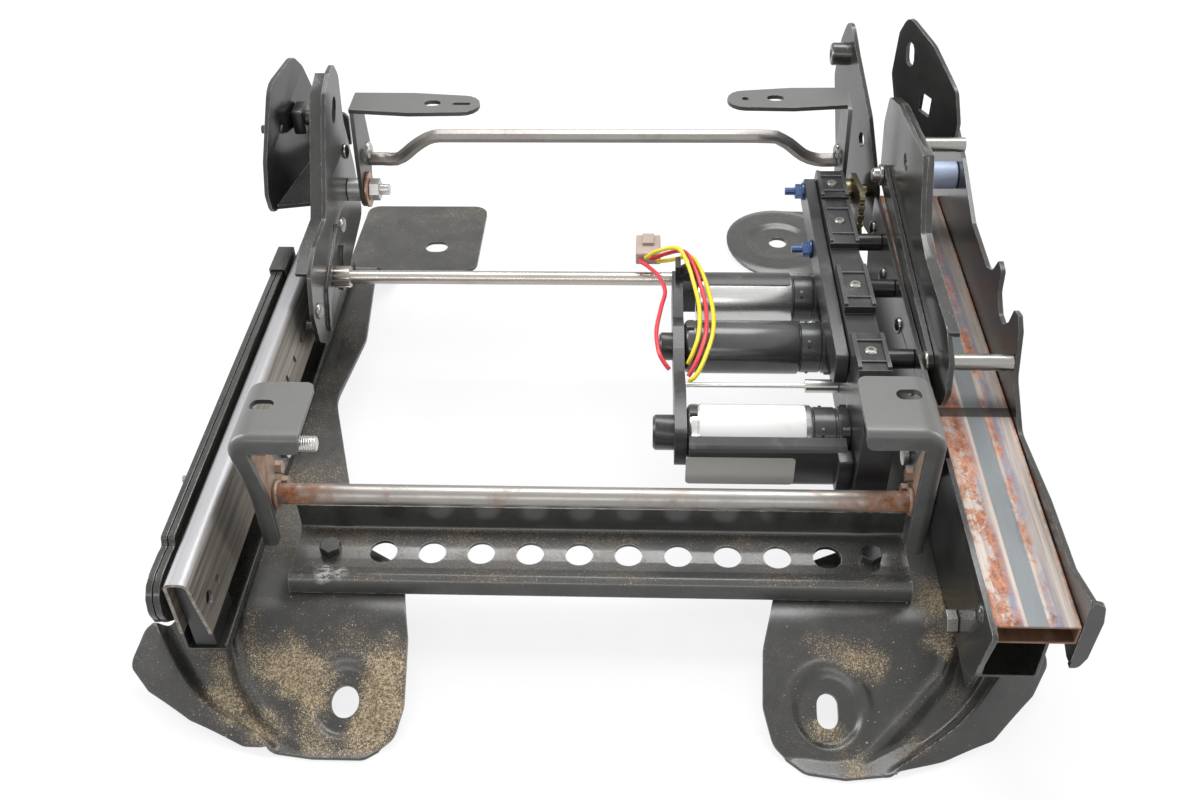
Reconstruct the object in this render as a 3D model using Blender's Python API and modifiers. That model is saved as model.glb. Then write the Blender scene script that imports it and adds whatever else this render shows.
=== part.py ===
"""Powered seat track: two slide rails on stamped bases, with the front and rear lifts.

Lengths are written in millimetres and turned into Blender's metres by MM.
X runs across the seat to the right, Y to the rear and Z up.
Side-view places are (y, z): y behind the front datum, z above the top of the rails.
"""
import math

import bpy
import bmesh
from mathutils import Matrix, Vector

MM = 0.001

# Datum of the whole assembly
FLOOR_DROP = 96.0        # from the top of the rails down to the floor
CENTRE_X = -11.3         # middle of the assembly across
CENTRE_Y = 253.0         # middle of the assembly along
GAP = 0.3                # clearance between pieces that touch
RUNNING = 0.3            # radial clearance round a pin

# Left rail
RAIL_L_X = -219.0        # middle of the rail's flat top
RAIL_TOP_W = 13.5
RAIL_T = 2.0
RAIL_FLARE_X = 4.0       # how far the flared wall stands inboard of the top's edge
RAIL_LEAN = 0.8          # lean of the wall above the flare
RAIL_STEEP_Z = -12.0     # where the flare starts
RAIL_FLARE_Z = -37.0     # where the flare ends
RAIL_SKIRT_Z = -40.0     # lower edge of the rail
RAIL_L_FRONT = 18.0
RAIL_L_LEN = 330.0
RAIL_SLOT_PITCH = 20.0
RAIL_SLOT_COUNT = 5
RAIL_SLOT_Y = 171.0

# Right rail tube
TUBE_X = 213.5
TUBE_W = 42.0
TUBE_H = 13.0
TUBE_WALL = 1.5
TUBE_LEN = 400.0
PLATE_T = 3.0            # sheet of the side plates and rear brackets
LEVER_X = TUBE_X - TUBE_W / 2 - 4.7       # inner face of the lever plate
CARRIAGE_X = LEVER_X - 2 * PLATE_T - 0.8  # inner face of the carriage plate
LEVER_TURN = 4.0         # how far the lever plate's edge turns out

# Lower rails
LOWER_T = 2.0
LOWER_FRONT = 22.0
LOWER_LEN = 366.0
LOWER_WALL_Z = -53.5
SHOE_LEN = 30.0
SHOE_INSET = 2.0
BLOCK_Y = 44.0

# Stamped bases
BASE_T = 2.5
WEB_Z = -60.0            # upper face of the web
BEND_Y = 52.0            # where the front foot starts to slope
FOOT_SLOPE = 0.50        # fall for each unit of length
REAR_DROP_Y = 386.0      # where the web starts to fall to the rear foot
REAR_DROP_LEN = 42.0
VALLEY_DEPTH = 5.0
CREST_HEIGHT = 6.0
SKIRT_FALL = 0.8
RING_DEPTH = 1.6
LEFT_FOOT_HOLE = (-142.0, 8.0)
LEFT_FOOT_HOLE_R = 7.8
RIGHT_FOOT_HOLE = (121.0, 8.0)
RIGHT_FOOT_SLOT = (11.5, 17.0)
LEFT_TAB_HOLE = (-156.0, 469.0)
LEFT_TAB_SLOT = (19.0, 15.0)
RIGHT_TAB_CENTRE = (131.0, 478.0)
RIGHT_TAB_R = (43.0, 50.0)
RIGHT_TAB_HOLE_R = 7.5

# Perforated cross-member
CROSS_T = 2.0
CROSS_X = (RAIL_L_X + 38.0, TUBE_X - 42.5)
CROSS_TOP_Z = -30.5
CROSS_WEB_Z = -50.0
CROSS_REAR_Y = 106.0
CROSS_FRONT_Y = 68.0
CROSS_HOLE_R = 8.0
CROSS_HOLE_COUNT = 10
CROSS_HOLE_END = 45.35     # from the last hole to the right end
CROSS_HOLE_X = CROSS_X[0] + 51.5    # first hole
CROSS_HOLE_PITCH = (CROSS_X[1] - CROSS_HOLE_END - CROSS_HOLE_X) / (CROSS_HOLE_COUNT - 1)
CROSS_BOLT_X = (CROSS_X[0] + 21.0, CROSS_X[1] - 21.0)

# Guide bars on the left
BAR_T = 3.7
BAR_TOP_Z = 1.0
BAR_BOTTOM_Z = -36.0
BAR_FRONT = 14.0
BAR_REAR = 322.0
BAR_INNER_X = RAIL_L_X - RAIL_TOP_W / 2 - 4.45   # middle of the inner bar
CAP_LEN = 28.0
CAP_T = 1.5

# Cross shaft
SHAFT_Y = 307.0
SHAFT_Z = -11.0
SHAFT_R = 4.8
SHAFT_L_X = RAIL_L_X + 33.0
PINION_R = 7.5
PINION_TEETH = 12
PINION_LEN = 11.0

# Front lift
TORQUE_Y = 95.0
TORQUE_Z = -11.0
TORQUE_R = 6.0
TORQUE_WALL = 1.6
FRONT_PIVOT_Y = 130.0
FRONT_PIVOT_Z = -8.0
PIVOT_R = 4.0
LEG_L_X = RAIL_L_X + 26.0         # outer face of the left bracket's leg
LEG_L_TOP_X = RAIL_L_X + 18.5     # the same at its flange
LEG_R_X = CARRIAGE_X - 6.0        # outer face of the right bracket's leg
BRACKET_T = 3.0
FLANGE_L_Z = 52.0        # upper faces of the brackets' flanges
FLANGE_R_Z = 60.0
FLANGE_W = 42.0
FLANGE_Y = (72.0, 118.0)
LIP_H = 11.0
LEG_BOTTOM_Z = -29.6        # clears the cross-member as the carriage slides
LEG_LIP_W = 11.0
CRANK_T = 2.5
STUD_YZ = (84.0, 38.0)
STUD_R = 4.0
STUD_END_X = LEG_L_X + 40.0

# Rear lift
REAR_PIVOT_Y = 384.0
REAR_PIVOT_Z = 13.0
REAR_PIVOT_R = 5.0
STRAP_T = 3.0
STRAP_L_X = RAIL_L_X + 32.0       # outer face of the left strap
STRAP_R_X = CARRIAGE_X - 20.0     # outer face of the right strap
ARM_Z = 80.0             # upper face of the arms
ARM_L_END = STRAP_L_X + 91.0
ARM_R_END = STRAP_R_X - 85.0
ARM_Y = (391.0, 399.0)   # middles of the left and right arms
ARM_R = 12.5
BAR_R = 5.0
BAR_END_YZ = (404.0, 27.0)
BAR_RISE = 19.0
SECTOR_R = 45.0
SECTOR_T = 4.0
SECTOR_X = STRAP_R_X + 6.0
SECTOR_TOOTH = 3.0
SECTOR_PIN_END = CARRIAGE_X + 2.0
SECTOR_TEETH = 9
WASHER_R = 13.0
WASHER_T = 2.0

# Rear brackets
INNER_L_X = RAIL_L_X + 18.3       # outer face of the left inner plate
FLANGE_TURN = 8.0
OUTER_L_A = (RAIL_L_X - 22.0, 335.0)
OUTER_L_B = (RAIL_L_X - 5.0, 445.0)
BRACKET_FLOOR_Z = 25.0
INNER_R_A = (CARRIAGE_X + 1.8, 366.0)
INNER_R_B = (CARRIAGE_X - 17.0, 462.0)

# Right carriage plates
OUTER_R_X = TUBE_X + TUBE_W / 2 + GAP    # inner face of the outer side plate
LOBE_A = (OUTER_R_X - 0.8, 372.0)
LOBE_B = (OUTER_R_X - 34.8, 446.0)
LINK_W = 12.0
BUSH_R = 9.5
BUSH_LEN = 22.0
BUSH_YZ = (364.0, 38.0)
SPACER_R = 5.0
LEVER_FRONT_YZ = (175.0, 24.0)
UPPER_SPACER_YZ = (356.0, 66.0)

# Gear housing and motors
HOUSE_X = (CARRIAGE_X - 42.0, CARRIAGE_X - 23.4)
SHAFT_X = (SHAFT_L_X, HOUSE_X[0])
HOUSE_Y = (108.0, 374.0)
HOUSE_BOTTOM_Z = -26.0
COVER_T = 8.0
MOTOR_R = 17.0
MOTOR_Z = -8.0
FRONT_MOTOR_Y = 146.5
MIDDLE_MOTOR_Y = 228.0
REAR_MOTOR_Y = 281.0
MOTOR_SEAT_X = HOUSE_X[0] - GAP   # right ends of the motors
NOSE_LEN = 24.0
NOSE_R = 14.5
YOKE_X = (HOUSE_X[0] - 101.0, HOUSE_X[0] - 94.0)
CRADLE_FRONT_Y = 122.0
ROD_R = 1.5
ROD_Y = 190.0
HOUSE_BOSS_R = 6.0
HOUSE_BOSS_YZ = ((190.0, 14.0), (265.0, 12.0), (322.0, 10.0))

# Wiring
WIRE_R = 1.4
CONNECTOR_SIZE = (17.0, 24.0, 9.0)
CONNECTOR_AT = (YOKE_X[0] - 16.0, 322.0, 0.0)


def place(x, y, z):
    """World point in metres of a rail point in millimetres."""
    return Vector(((x - CENTRE_X) * MM, (y - CENTRE_Y) * MM, (z + FLOOR_DROP) * MM))


def clear_scene():
    """Empty the file, so that only the assembly is in it."""
    for item in list(bpy.data.objects):
        bpy.data.objects.remove(item, do_unlink=True)


def new_collection(name):
    """A collection of the scene by name."""
    made = bpy.data.collections.new(name)
    bpy.context.scene.collection.children.link(made)
    return made


clear_scene()
PARTS = new_collection("seat_track")
CUTTERS = new_collection("cutters")


def finish_material(name, colour, roughness, metallic):
    """A plain Principled material."""
    made = bpy.data.materials.new(name)
    made.use_nodes = True
    shader = made.node_tree.nodes["Principled BSDF"]
    shader.inputs["Base Color"].default_value = (*colour, 1.0)
    shader.inputs["Roughness"].default_value = roughness
    shader.inputs["Metallic"].default_value = metallic
    return made


FINISHES = {
    "black_coat": ((0.022, 0.022, 0.021), 0.38, 0.2),
    "grey_coat": ((0.105, 0.105, 0.10), 0.45, 0.3),
    "zinc_steel": ((0.52, 0.51, 0.48), 0.35, 0.9),
    "bare_steel": ((0.42, 0.38, 0.33), 0.38, 0.85),
    "rusty_steel": ((0.36, 0.20, 0.13), 0.62, 0.55),
    "black_plastic": ((0.018, 0.018, 0.018), 0.45, 0.0),
    "motor_can": ((0.05, 0.05, 0.055), 0.3, 0.7),
    "gold_zinc": ((0.55, 0.42, 0.16), 0.35, 0.9),
    "copper_wash": ((0.45, 0.28, 0.20), 0.4, 0.8),
    "blue_nut": ((0.05, 0.09, 0.19), 0.35, 0.6),
    "pale_nylon": ((0.45, 0.52, 0.66), 0.4, 0.0),
    "label_white": ((0.82, 0.82, 0.81), 0.5, 0.0),
    "red_wire": ((0.62, 0.05, 0.06), 0.4, 0.0),
    "yellow_wire": ((0.78, 0.66, 0.03), 0.4, 0.0),
    "beige_plastic": ((0.30, 0.25, 0.22), 0.5, 0.0),
}
MATERIALS = {}


def hand_over(obj, name, finish):
    """Name a piece, give it its own material and keep it with the parts."""
    obj.name = name
    obj.data.name = name
    colour, roughness, metallic = FINISHES[finish]
    MATERIALS[name] = finish_material(name + "_finish", colour, roughness, metallic)
    obj.data.materials.clear()
    obj.data.materials.append(MATERIALS[name])
    for holder in list(obj.users_collection):
        holder.objects.unlink(obj)
    PARTS.objects.link(obj)
    return obj


def make_cutter(obj):
    """Keep an object as a tool of a Boolean only."""
    for holder in list(obj.users_collection):
        holder.objects.unlink(obj)
    CUTTERS.objects.link(obj)
    obj.hide_render = True
    obj.display_type = "WIRE"
    return obj


def boolean(obj, other, operation):
    """Add one exact Boolean with another object to a piece."""
    step = obj.modifiers.new(operation.lower(), "BOOLEAN")
    step.operation = operation
    step.solver = "EXACT"
    step.object = make_cutter(other)
    return obj


def fuse(obj, others):
    """Join other solids to a piece."""
    for other in others:
        boolean(obj, other, "UNION")
    return obj


def cut(obj, others):
    """Cut other solids out of a piece."""
    for other in others:
        boolean(obj, other, "DIFFERENCE")
    return obj


def block(x, y, z, bevel=0.0):
    """A box between pairs of rail coordinates."""
    low = place(x[0], y[0], z[0])
    high = place(x[1], y[1], z[1])
    bpy.ops.mesh.primitive_cube_add(size=1.0)
    obj = bpy.context.object
    obj.data.transform(Matrix.Diagonal((*(high - low), 1.0)))
    obj.location = (low + high) / 2
    if bevel:
        edge = obj.modifiers.new("edges", "BEVEL")
        edge.width = bevel * MM
        edge.segments = 2
    return obj


AXIS_TURN = {
    "X": Matrix.Rotation(math.pi / 2, 4, "Y"),
    "Y": Matrix.Rotation(-math.pi / 2, 4, "X"),
    "Z": Matrix.Identity(4),
}


def rod(axis, at, span, radius, sides=16):
    """A cylinder along an axis; at holds the two other rail coordinates."""
    first, last = span
    middle = (first + last) / 2
    centre = {"X": (middle, *at), "Y": (at[0], middle, at[1]), "Z": (*at, middle)}[axis]
    bpy.ops.mesh.primitive_cylinder_add(vertices=sides, radius=radius * MM,
                                        depth=abs(last - first) * MM)
    obj = bpy.context.object
    obj.data.transform(AXIS_TURN[axis])
    obj.location = place(*centre)
    obj.data.shade_smooth()
    obj.data.set_sharp_from_angle(angle=math.radians(40))
    return obj


def turned_x(at, profile, steps=16):
    """A turned piece along X: (radius, x) pairs from the far end to the near one."""
    mesh = bpy.data.meshes.new("turned")
    form = bmesh.new()
    corners = [form.verts.new((radius * MM, 0, x * MM)) for radius, x in profile]
    for first, second in zip(corners, corners[1:]):
        form.edges.new((first, second))
    form.to_mesh(mesh)
    form.free()
    obj = bpy.data.objects.new("turned", mesh)
    CUTTERS.objects.link(obj)
    screw = obj.modifiers.new("turn", "SCREW")
    screw.steps = steps
    screw.render_steps = steps
    screw.use_merge_vertices = True
    screw.merge_threshold = 0.00001
    solid = baked(obj)
    solid.data.transform(AXIS_TURN["X"])
    solid.location = place(0, *at) - Vector((place(0, 0, 0).x, 0, 0)) + Vector((-CENTRE_X * MM, 0, 0))
    return solid


def baked(obj):
    """A mesh object of an object's evaluated form, which it replaces."""
    graph = bpy.context.evaluated_depsgraph_get()
    mesh = bpy.data.meshes.new_from_object(obj.evaluated_get(graph))
    form = bmesh.new()
    form.from_mesh(mesh)
    bmesh.ops.remove_doubles(form, verts=form.verts, dist=0.000002)
    bmesh.ops.recalc_face_normals(form, faces=form.faces)
    form.to_mesh(mesh)
    form.free()
    made = bpy.data.objects.new("baked", mesh)
    made.matrix_world = obj.matrix_world.copy()
    CUTTERS.objects.link(made)
    bpy.data.objects.remove(obj, do_unlink=True)
    return made


def rounded(corners):
    """Outline points of corners (a, b) or (a, b, radius), with round corners as arcs."""
    points = []
    count = len(corners)
    for index, corner in enumerate(corners):
        here = Vector(corner[:2])
        if len(corner) < 3:
            points.append(here)
            continue
        before = Vector(corners[index - 1][:2]) - here
        after = Vector(corners[(index + 1) % count][:2]) - here
        angle = before.angle(after)
        reach = corner[2] / math.tan(angle / 2)
        reach = min(reach, before.length * 0.49, after.length * 0.49)
        radius = reach * math.tan(angle / 2)
        start = here + before.normalized() * reach
        end = here + after.normalized() * reach
        centre = here + (before.normalized() + after.normalized()).normalized() * (
            radius / math.sin(angle / 2))
        turn_from = math.atan2(start.y - centre.y, start.x - centre.x)
        turn_to = math.atan2(end.y - centre.y, end.x - centre.x)
        sweep = (turn_to - turn_from + math.pi) % (2 * math.pi) - math.pi
        steps = 2 if corner[2] < 7 else 3
        for step in range(steps + 1):
            turn = turn_from + sweep * step / steps
            points.append(centre + Vector((math.cos(turn), math.sin(turn))) * radius)
    return points


def circle(centre, radius, steps=14):
    """Points of a circle."""
    return [Vector((centre[0] + radius * math.cos(2 * math.pi * i / steps),
                    centre[1] + radius * math.sin(2 * math.pi * i / steps)))
            for i in range(steps)]


def slot(centre, length, width, turn=0.0, steps=4):
    """Points of a slot with round ends; turn is its angle in degrees."""
    points = []
    half = (length - width) / 2
    for side in (1, -1):
        for step in range(steps + 1):
            angle = math.radians(-90 + 180 * step / steps)
            point = Vector((half + math.cos(angle) * width / 2, math.sin(angle) * width / 2)) * side
            points.append(point)
    spin = Matrix.Rotation(math.radians(turn), 2)
    return [Vector(centre) + spin @ point for point in points]


def link_outline(first, second, steps=8):
    """Outline of a link round two circles (a, b, radius)."""
    start = Vector(first[:2])
    end = Vector(second[:2])
    along = end - start
    heading = math.atan2(along.y, along.x)
    lean = math.acos((first[2] - second[2]) / along.length)
    points = []
    for centre, radius, turn_from, turn_to in (
            (start, first[2], heading + lean, heading - lean + 2 * math.pi),
            (end, second[2], heading - lean, heading + lean)):
        for step in range(steps + 1):
            turn = turn_from + (turn_to - turn_from) * step / steps
            points.append(centre + Vector((math.cos(turn), math.sin(turn))) * radius)
    return points


def band(path, thickness):
    """Outline of a strip of even thickness along an open path, mitred at its corners."""
    path = [Vector(point) for point in path]
    left = []
    right = []
    for index, here in enumerate(path):
        ahead = (path[min(index + 1, len(path) - 1)] - here)
        behind = (here - path[max(index - 1, 0)])
        if ahead.length == 0:
            ahead = behind
        if behind.length == 0:
            behind = ahead
        first = Vector((-behind.y, behind.x)).normalized()
        second = Vector((-ahead.y, ahead.x)).normalized()
        mitre = (first + second).normalized()
        reach = thickness / 2 / max(mitre.dot(first), 0.35)
        left.append(here + mitre * reach)
        right.append(here - mitre * reach)
    return left + right[::-1]


PLANES = {
    "YZ": Matrix(((0, 0, 1, 0), (1, 0, 0, 0), (0, 1, 0, 0), (0, 0, 0, 1))),
    "XZ": Matrix(((1, 0, 0, 0), (0, 0, -1, 0), (0, 1, 0, 0), (0, 0, 0, 1))),
    "XY": Matrix.Identity(4),
}


def flat_solid(outline, thickness, matrix, holes=()):
    """A flat outline with holes, as thick as stated about its own plane."""
    curve = bpy.data.curves.new("outline", "CURVE")
    curve.dimensions = "2D"
    curve.fill_mode = "BOTH"
    curve.extrude = thickness / 2 * MM
    for points in (outline, *holes):
        spline = curve.splines.new("POLY")
        spline.points.add(len(points) - 1)
        for item, point in zip(spline.points, points):
            item.co = (point[0] * MM, point[1] * MM, 0, 1)
        spline.use_cyclic_u = True
    obj = bpy.data.objects.new("outline", curve)
    obj.matrix_world = matrix
    CUTTERS.objects.link(obj)
    bpy.context.view_layer.update()
    return baked(obj)


def plate(plane, outline, span, holes=()):
    """A flat piece in a rail plane, between two places on the third axis."""
    middle = (span[0] + span[1]) / 2
    at = {"YZ": (middle, 0, 0), "XZ": (0, middle, 0), "XY": (0, 0, middle)}[plane]
    matrix = Matrix.Translation(place(*at)) @ PLANES[plane]
    return flat_solid(outline, abs(span[1] - span[0]), matrix, holes)


def slanted_plate(first, second, outline, thickness, holes=()):
    """An upright plate from one plan point to another; its outline is (along, z)."""
    start = place(first[0], first[1], 0)
    along = (place(second[0], second[1], 0) - start).normalized()
    up = Vector((0, 0, 1))
    out = along.cross(up)
    matrix = Matrix((along, up, out)).transposed().to_4x4()
    matrix.translation = start
    return flat_solid(outline, thickness, matrix, holes)


def pipe(points, radius, resolution=2):
    """A round bar or wire through rail points, with closed ends."""
    curve = bpy.data.curves.new("pipe", "CURVE")
    curve.dimensions = "3D"
    curve.bevel_depth = radius * MM
    curve.bevel_resolution = resolution
    curve.resolution_u = 1
    curve.render_resolution_u = 0
    curve.use_fill_caps = True
    spline = curve.splines.new("POLY")
    spline.points.add(len(points) - 1)
    for item, point in zip(spline.points, points):
        item.co = (*place(*point), 1)
    obj = bpy.data.objects.new("pipe", curve)
    CUTTERS.objects.link(obj)
    bpy.context.view_layer.update()
    return baked(obj)


def smooth_route(points, spacing):
    """Evenly spaced places along a smooth curve through the points."""
    path = [Vector(point) for point in points]
    path = [path[0] * 2 - path[1]] + path + [path[-1] * 2 - path[-2]]
    dense = []
    for index in range(1, len(path) - 2):
        before, here, after, beyond = path[index - 1:index + 3]
        for step in range(24):
            t = step / 24
            dense.append(0.5 * (2 * here + (after - before) * t
                                + (2 * before - 5 * here + 4 * after - beyond) * t * t
                                + (3 * here - before - 3 * after + beyond) * t ** 3))
    dense.append(path[-2])
    lengths = [0.0]
    for first, second in zip(dense, dense[1:]):
        lengths.append(lengths[-1] + (second - first).length)
    count = max(int(round(lengths[-1] / spacing)), 2)
    even = []
    cursor = 0
    for index in range(count + 1):
        target = lengths[-1] * index / count
        while cursor < len(lengths) - 2 and lengths[cursor + 1] < target:
            cursor += 1
        stretch = lengths[cursor + 1] - lengths[cursor]
        share = (target - lengths[cursor]) / stretch if stretch else 0.0
        even.append(dense[cursor].lerp(dense[cursor + 1], min(max(share, 0.0), 1.0)))
    return even


def hex_prism(at, span, across):
    """A hexagon along X, for a nut or a bolt head."""
    return rod("X", at, span, across / math.sqrt(3), sides=6)


def ease(value):
    """A smooth step from 0 to 1."""
    value = min(max(value, 0.0), 1.0)
    return value * value * (3 - 2 * value)


def along_list(pairs, value):
    """Straight-line reading of a list of (value, result) pairs."""
    for first, second in zip(pairs, pairs[1:]):
        if value <= second[0]:
            share = (value - first[0]) / (second[0] - first[0])
            return first[1] + (second[1] - first[1]) * max(share, 0.0)
    return pairs[-1][1]


FLOOR_Z = -FLOOR_DROP

LEFT_OUTLINE = [(-114, 60, 6), (-110, 38, 10), (-109, 5, 14), (-113, -10, 10), (-128, -21, 8),
                (-156, -21, 6), (-194, -16, 12), (-226, -3, 12), (-254, 14, 6), (-268, 28, 4),
                (-258, 40, 6), (-242, 46, 8), (-240, 400, 30), (-226, 424, 20), (-224, 533, 10),
                (-119, 533, 12), (-119, 436, 10), (-178, 430, 14), (-189, 396, 20), (-180, 300, 40),
                (-188, 232, 40), (-163, 150, 30), (-150, 104, 20), (-118, 84, 12)]
LEFT_CREST = [(-20, -181), (-15, -181), (0, -213), (16, -232), (42, -252), (60, -262)]
LEFT_RIDGE = [(-21, -156), (-10, -172), (3, -187), (16, -199), (36, -208), (56, -214)]
RIGHT_CREST = [(-24, 150), (-15, 166), (1, 191), (18, 208), (35, 218), (60, 228)]
RIGHT_RIDGE = [(-24, 130), (-13, 142), (2, 159), (17, 175), (28, 185), (56, 196)]


LEFT_SHIFT = RAIL_L_X + 219.0
RIGHT_SHIFT = TUBE_X - 213.5


def base_height(side, x, y):
    """Height of a base's upper face: web, sloped front foot, rear foot and pressings."""
    crest_list, ridge_list, hole = {
        -1: (LEFT_CREST, LEFT_RIDGE, LEFT_FOOT_HOLE),
        1: (RIGHT_CREST, RIGHT_RIDGE, RIGHT_FOOT_HOLE)}[side]
    lowest = FLOOR_Z + BASE_T
    if y > BEND_Y:
        drop = ease((y - REAR_DROP_Y) / REAR_DROP_LEN)
        height = WEB_Z + (lowest - WEB_Z) * drop
        if side > 0:
            dish = math.dist((x, y), RIGHT_TAB_CENTRE)
            height += 3.0 * ease((dish - 20) / 7) * (1 - ease((dish - 40) / 12)) * drop
        return height
    fade = ease((BEND_Y + 4 - y) / 20)
    height = WEB_Z - FOOT_SLOPE * (BEND_Y - y)
    out = -side * x
    crest = -side * along_list(crest_list, y)
    ridge = -side * along_list(ridge_list, y)
    past_ridge = ease((ridge - out) / 7)
    past_crest = ease((crest - out + 4) / 8)
    height -= VALLEY_DEPTH * past_ridge * (1 - past_crest) * fade
    height += CREST_HEIGHT * past_crest * fade
    height -= SKIRT_FALL * max(crest - out, 0.0) * fade
    ring = math.dist((x, y), hole)
    height -= RING_DEPTH * (1 - ease((ring - 17) / 6))
    return max(height, lowest)


def spread(low, high, step):
    """Places from low to high, about a step apart."""
    count = max(int(round((high - low) / step)), 1)
    return [low + (high - low) * i / count for i in range(count + 1)]


def stamped_base(side, outline, holes, xs, shift):
    """A base as a lifted grid of even thickness, trimmed to its outline."""
    ys = (spread(-29.4, 60, 8.1) + spread(60, REAR_DROP_Y, 110)[1:]
          + spread(REAR_DROP_Y, REAR_DROP_Y + REAR_DROP_LEN, 10)[1:] + spread(428, 545, 13)[1:])
    bpy.ops.mesh.primitive_grid_add(x_subdivisions=len(xs) - 1, y_subdivisions=len(ys) - 1, size=2)
    obj = bpy.context.object
    for vertex in obj.data.vertices:
        column = round((vertex.co.x + 1) / 2 * (len(xs) - 1))
        row = round((vertex.co.y + 1) / 2 * (len(ys) - 1))
        x, y = xs[column], ys[row]
        vertex.co = place(x, y, base_height(side, x, y))
    wall = obj.modifiers.new("sheet", "SOLIDIFY")
    wall.thickness = BASE_T * MM
    wall.offset = -1
    form = plate("XY", rounded(outline), (FLOOR_Z - 20, 0))
    boolean(obj, form, "INTERSECT")
    cut(obj, [plate("XY", hole, (FLOOR_Z - 20, 0)) for hole in holes])
    obj = baked(obj)
    obj.data.transform(Matrix.Translation((shift * MM, 0, 0)))
    return obj


def right_outline():
    """Outline of the right base, whose rear foot is round."""
    centre_x, centre_y = RIGHT_TAB_CENTRE
    lobe = []
    for step in range(11):
        turn = math.radians(80 + 190 * step / 10)
        lobe.append((centre_x + RIGHT_TAB_R[0] * math.cos(turn),
                     centre_y + RIGHT_TAB_R[1] * math.sin(turn)))
    front = [(160, 400, 20), (163, 150, 30), (140, 104, 20), (98, 84, 12), (92, 56, 10),
             (87, 36, 10), (86, 8, 12), (91, -10, 12), (107, -24, 10), (128, -27, 6), (152, -24, 6),
             (180, -16, 12), (209, -3, 12), (234, 21, 10), (245, 38, 4), (238, 46, 6)]
    return lobe + front + [(237, 400, 30), (200, 440, 20), (190, 526, 14)]


def build_bases():
    """The two stamped bases."""
    left = stamped_base(
        -1, LEFT_OUTLINE,
        [circle(LEFT_FOOT_HOLE, LEFT_FOOT_HOLE_R), slot(LEFT_TAB_HOLE, *LEFT_TAB_SLOT)],
        spread(-272, -105, 12), LEFT_SHIFT)
    hand_over(left, "left_base", "black_coat")
    right = stamped_base(
        1, right_outline(),
        [slot(RIGHT_FOOT_HOLE, RIGHT_FOOT_SLOT[1], RIGHT_FOOT_SLOT[0], 90),
         circle(RIGHT_TAB_CENTRE, RIGHT_TAB_HOLE_R)],
        spread(82, 249, 12), RIGHT_SHIFT)
    hand_over(right, "right_base", "black_coat")


def build_cross_member():
    """The perforated cross-member and its two bolts."""
    lip = CROSS_FRONT_Y - 2.5
    path = [(CROSS_REAR_Y, CROSS_TOP_Z), (CROSS_REAR_Y, CROSS_WEB_Z + 2),
            (CROSS_REAR_Y - 2, CROSS_WEB_Z), (CROSS_FRONT_Y + 3, CROSS_WEB_Z),
            (CROSS_FRONT_Y, CROSS_WEB_Z - 1), (lip + 0.5, CROSS_WEB_Z - 3.5),
            (lip, WEB_Z + GAP)]
    member = plate("YZ", band(path, CROSS_T), CROSS_X)
    middle = (CROSS_REAR_Y + CROSS_FRONT_Y) / 2
    span = (CROSS_WEB_Z - 8, CROSS_WEB_Z + 8)
    holes = [rod("Z", (CROSS_HOLE_X + CROSS_HOLE_PITCH * i, middle), span, CROSS_HOLE_R)
             for i in range(CROSS_HOLE_COUNT)]
    bolts = [rod("Z", (x, middle), span, 3 + RUNNING, 12) for x in CROSS_BOLT_X]
    hand_over(cut(member, holes + bolts), "cross_member", "black_coat")
    for name, x in zip(("cross_bolt_left", "cross_bolt_right"), CROSS_BOLT_X):
        shank = rod("Z", (x, middle), (WEB_Z + GAP, CROSS_WEB_Z + 3), 3, 12)
        seat = CROSS_WEB_Z + CROSS_T / 2 + GAP
        head = rod("Z", (x, middle), (seat, seat + 5), 6.5, 6)
        hand_over(fuse(shank, [head]), name, "black_coat")


def rail_path(drop=0.0):
    """Middle line of the left rail's sheet, across."""
    left = RAIL_L_X - RAIL_TOP_W / 2 + RAIL_T / 2
    right = RAIL_L_X + RAIL_TOP_W / 2 - RAIL_T / 2
    top = -RAIL_T / 2
    return [(left, RAIL_SKIRT_Z + drop), (left, top), (right, top), (right + RAIL_LEAN, RAIL_STEEP_Z),
            (right + RAIL_FLARE_X, RAIL_FLARE_Z), (right + RAIL_FLARE_X, RAIL_SKIRT_Z + drop)]


def rail_face(z):
    """Outer face of the left rail's inboard wall at a height."""
    path = rail_path()
    rows = sorted((p[1], p[0]) for p in path[2:])
    return along_list(rows, z) + RAIL_T / 2 + GAP


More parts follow.
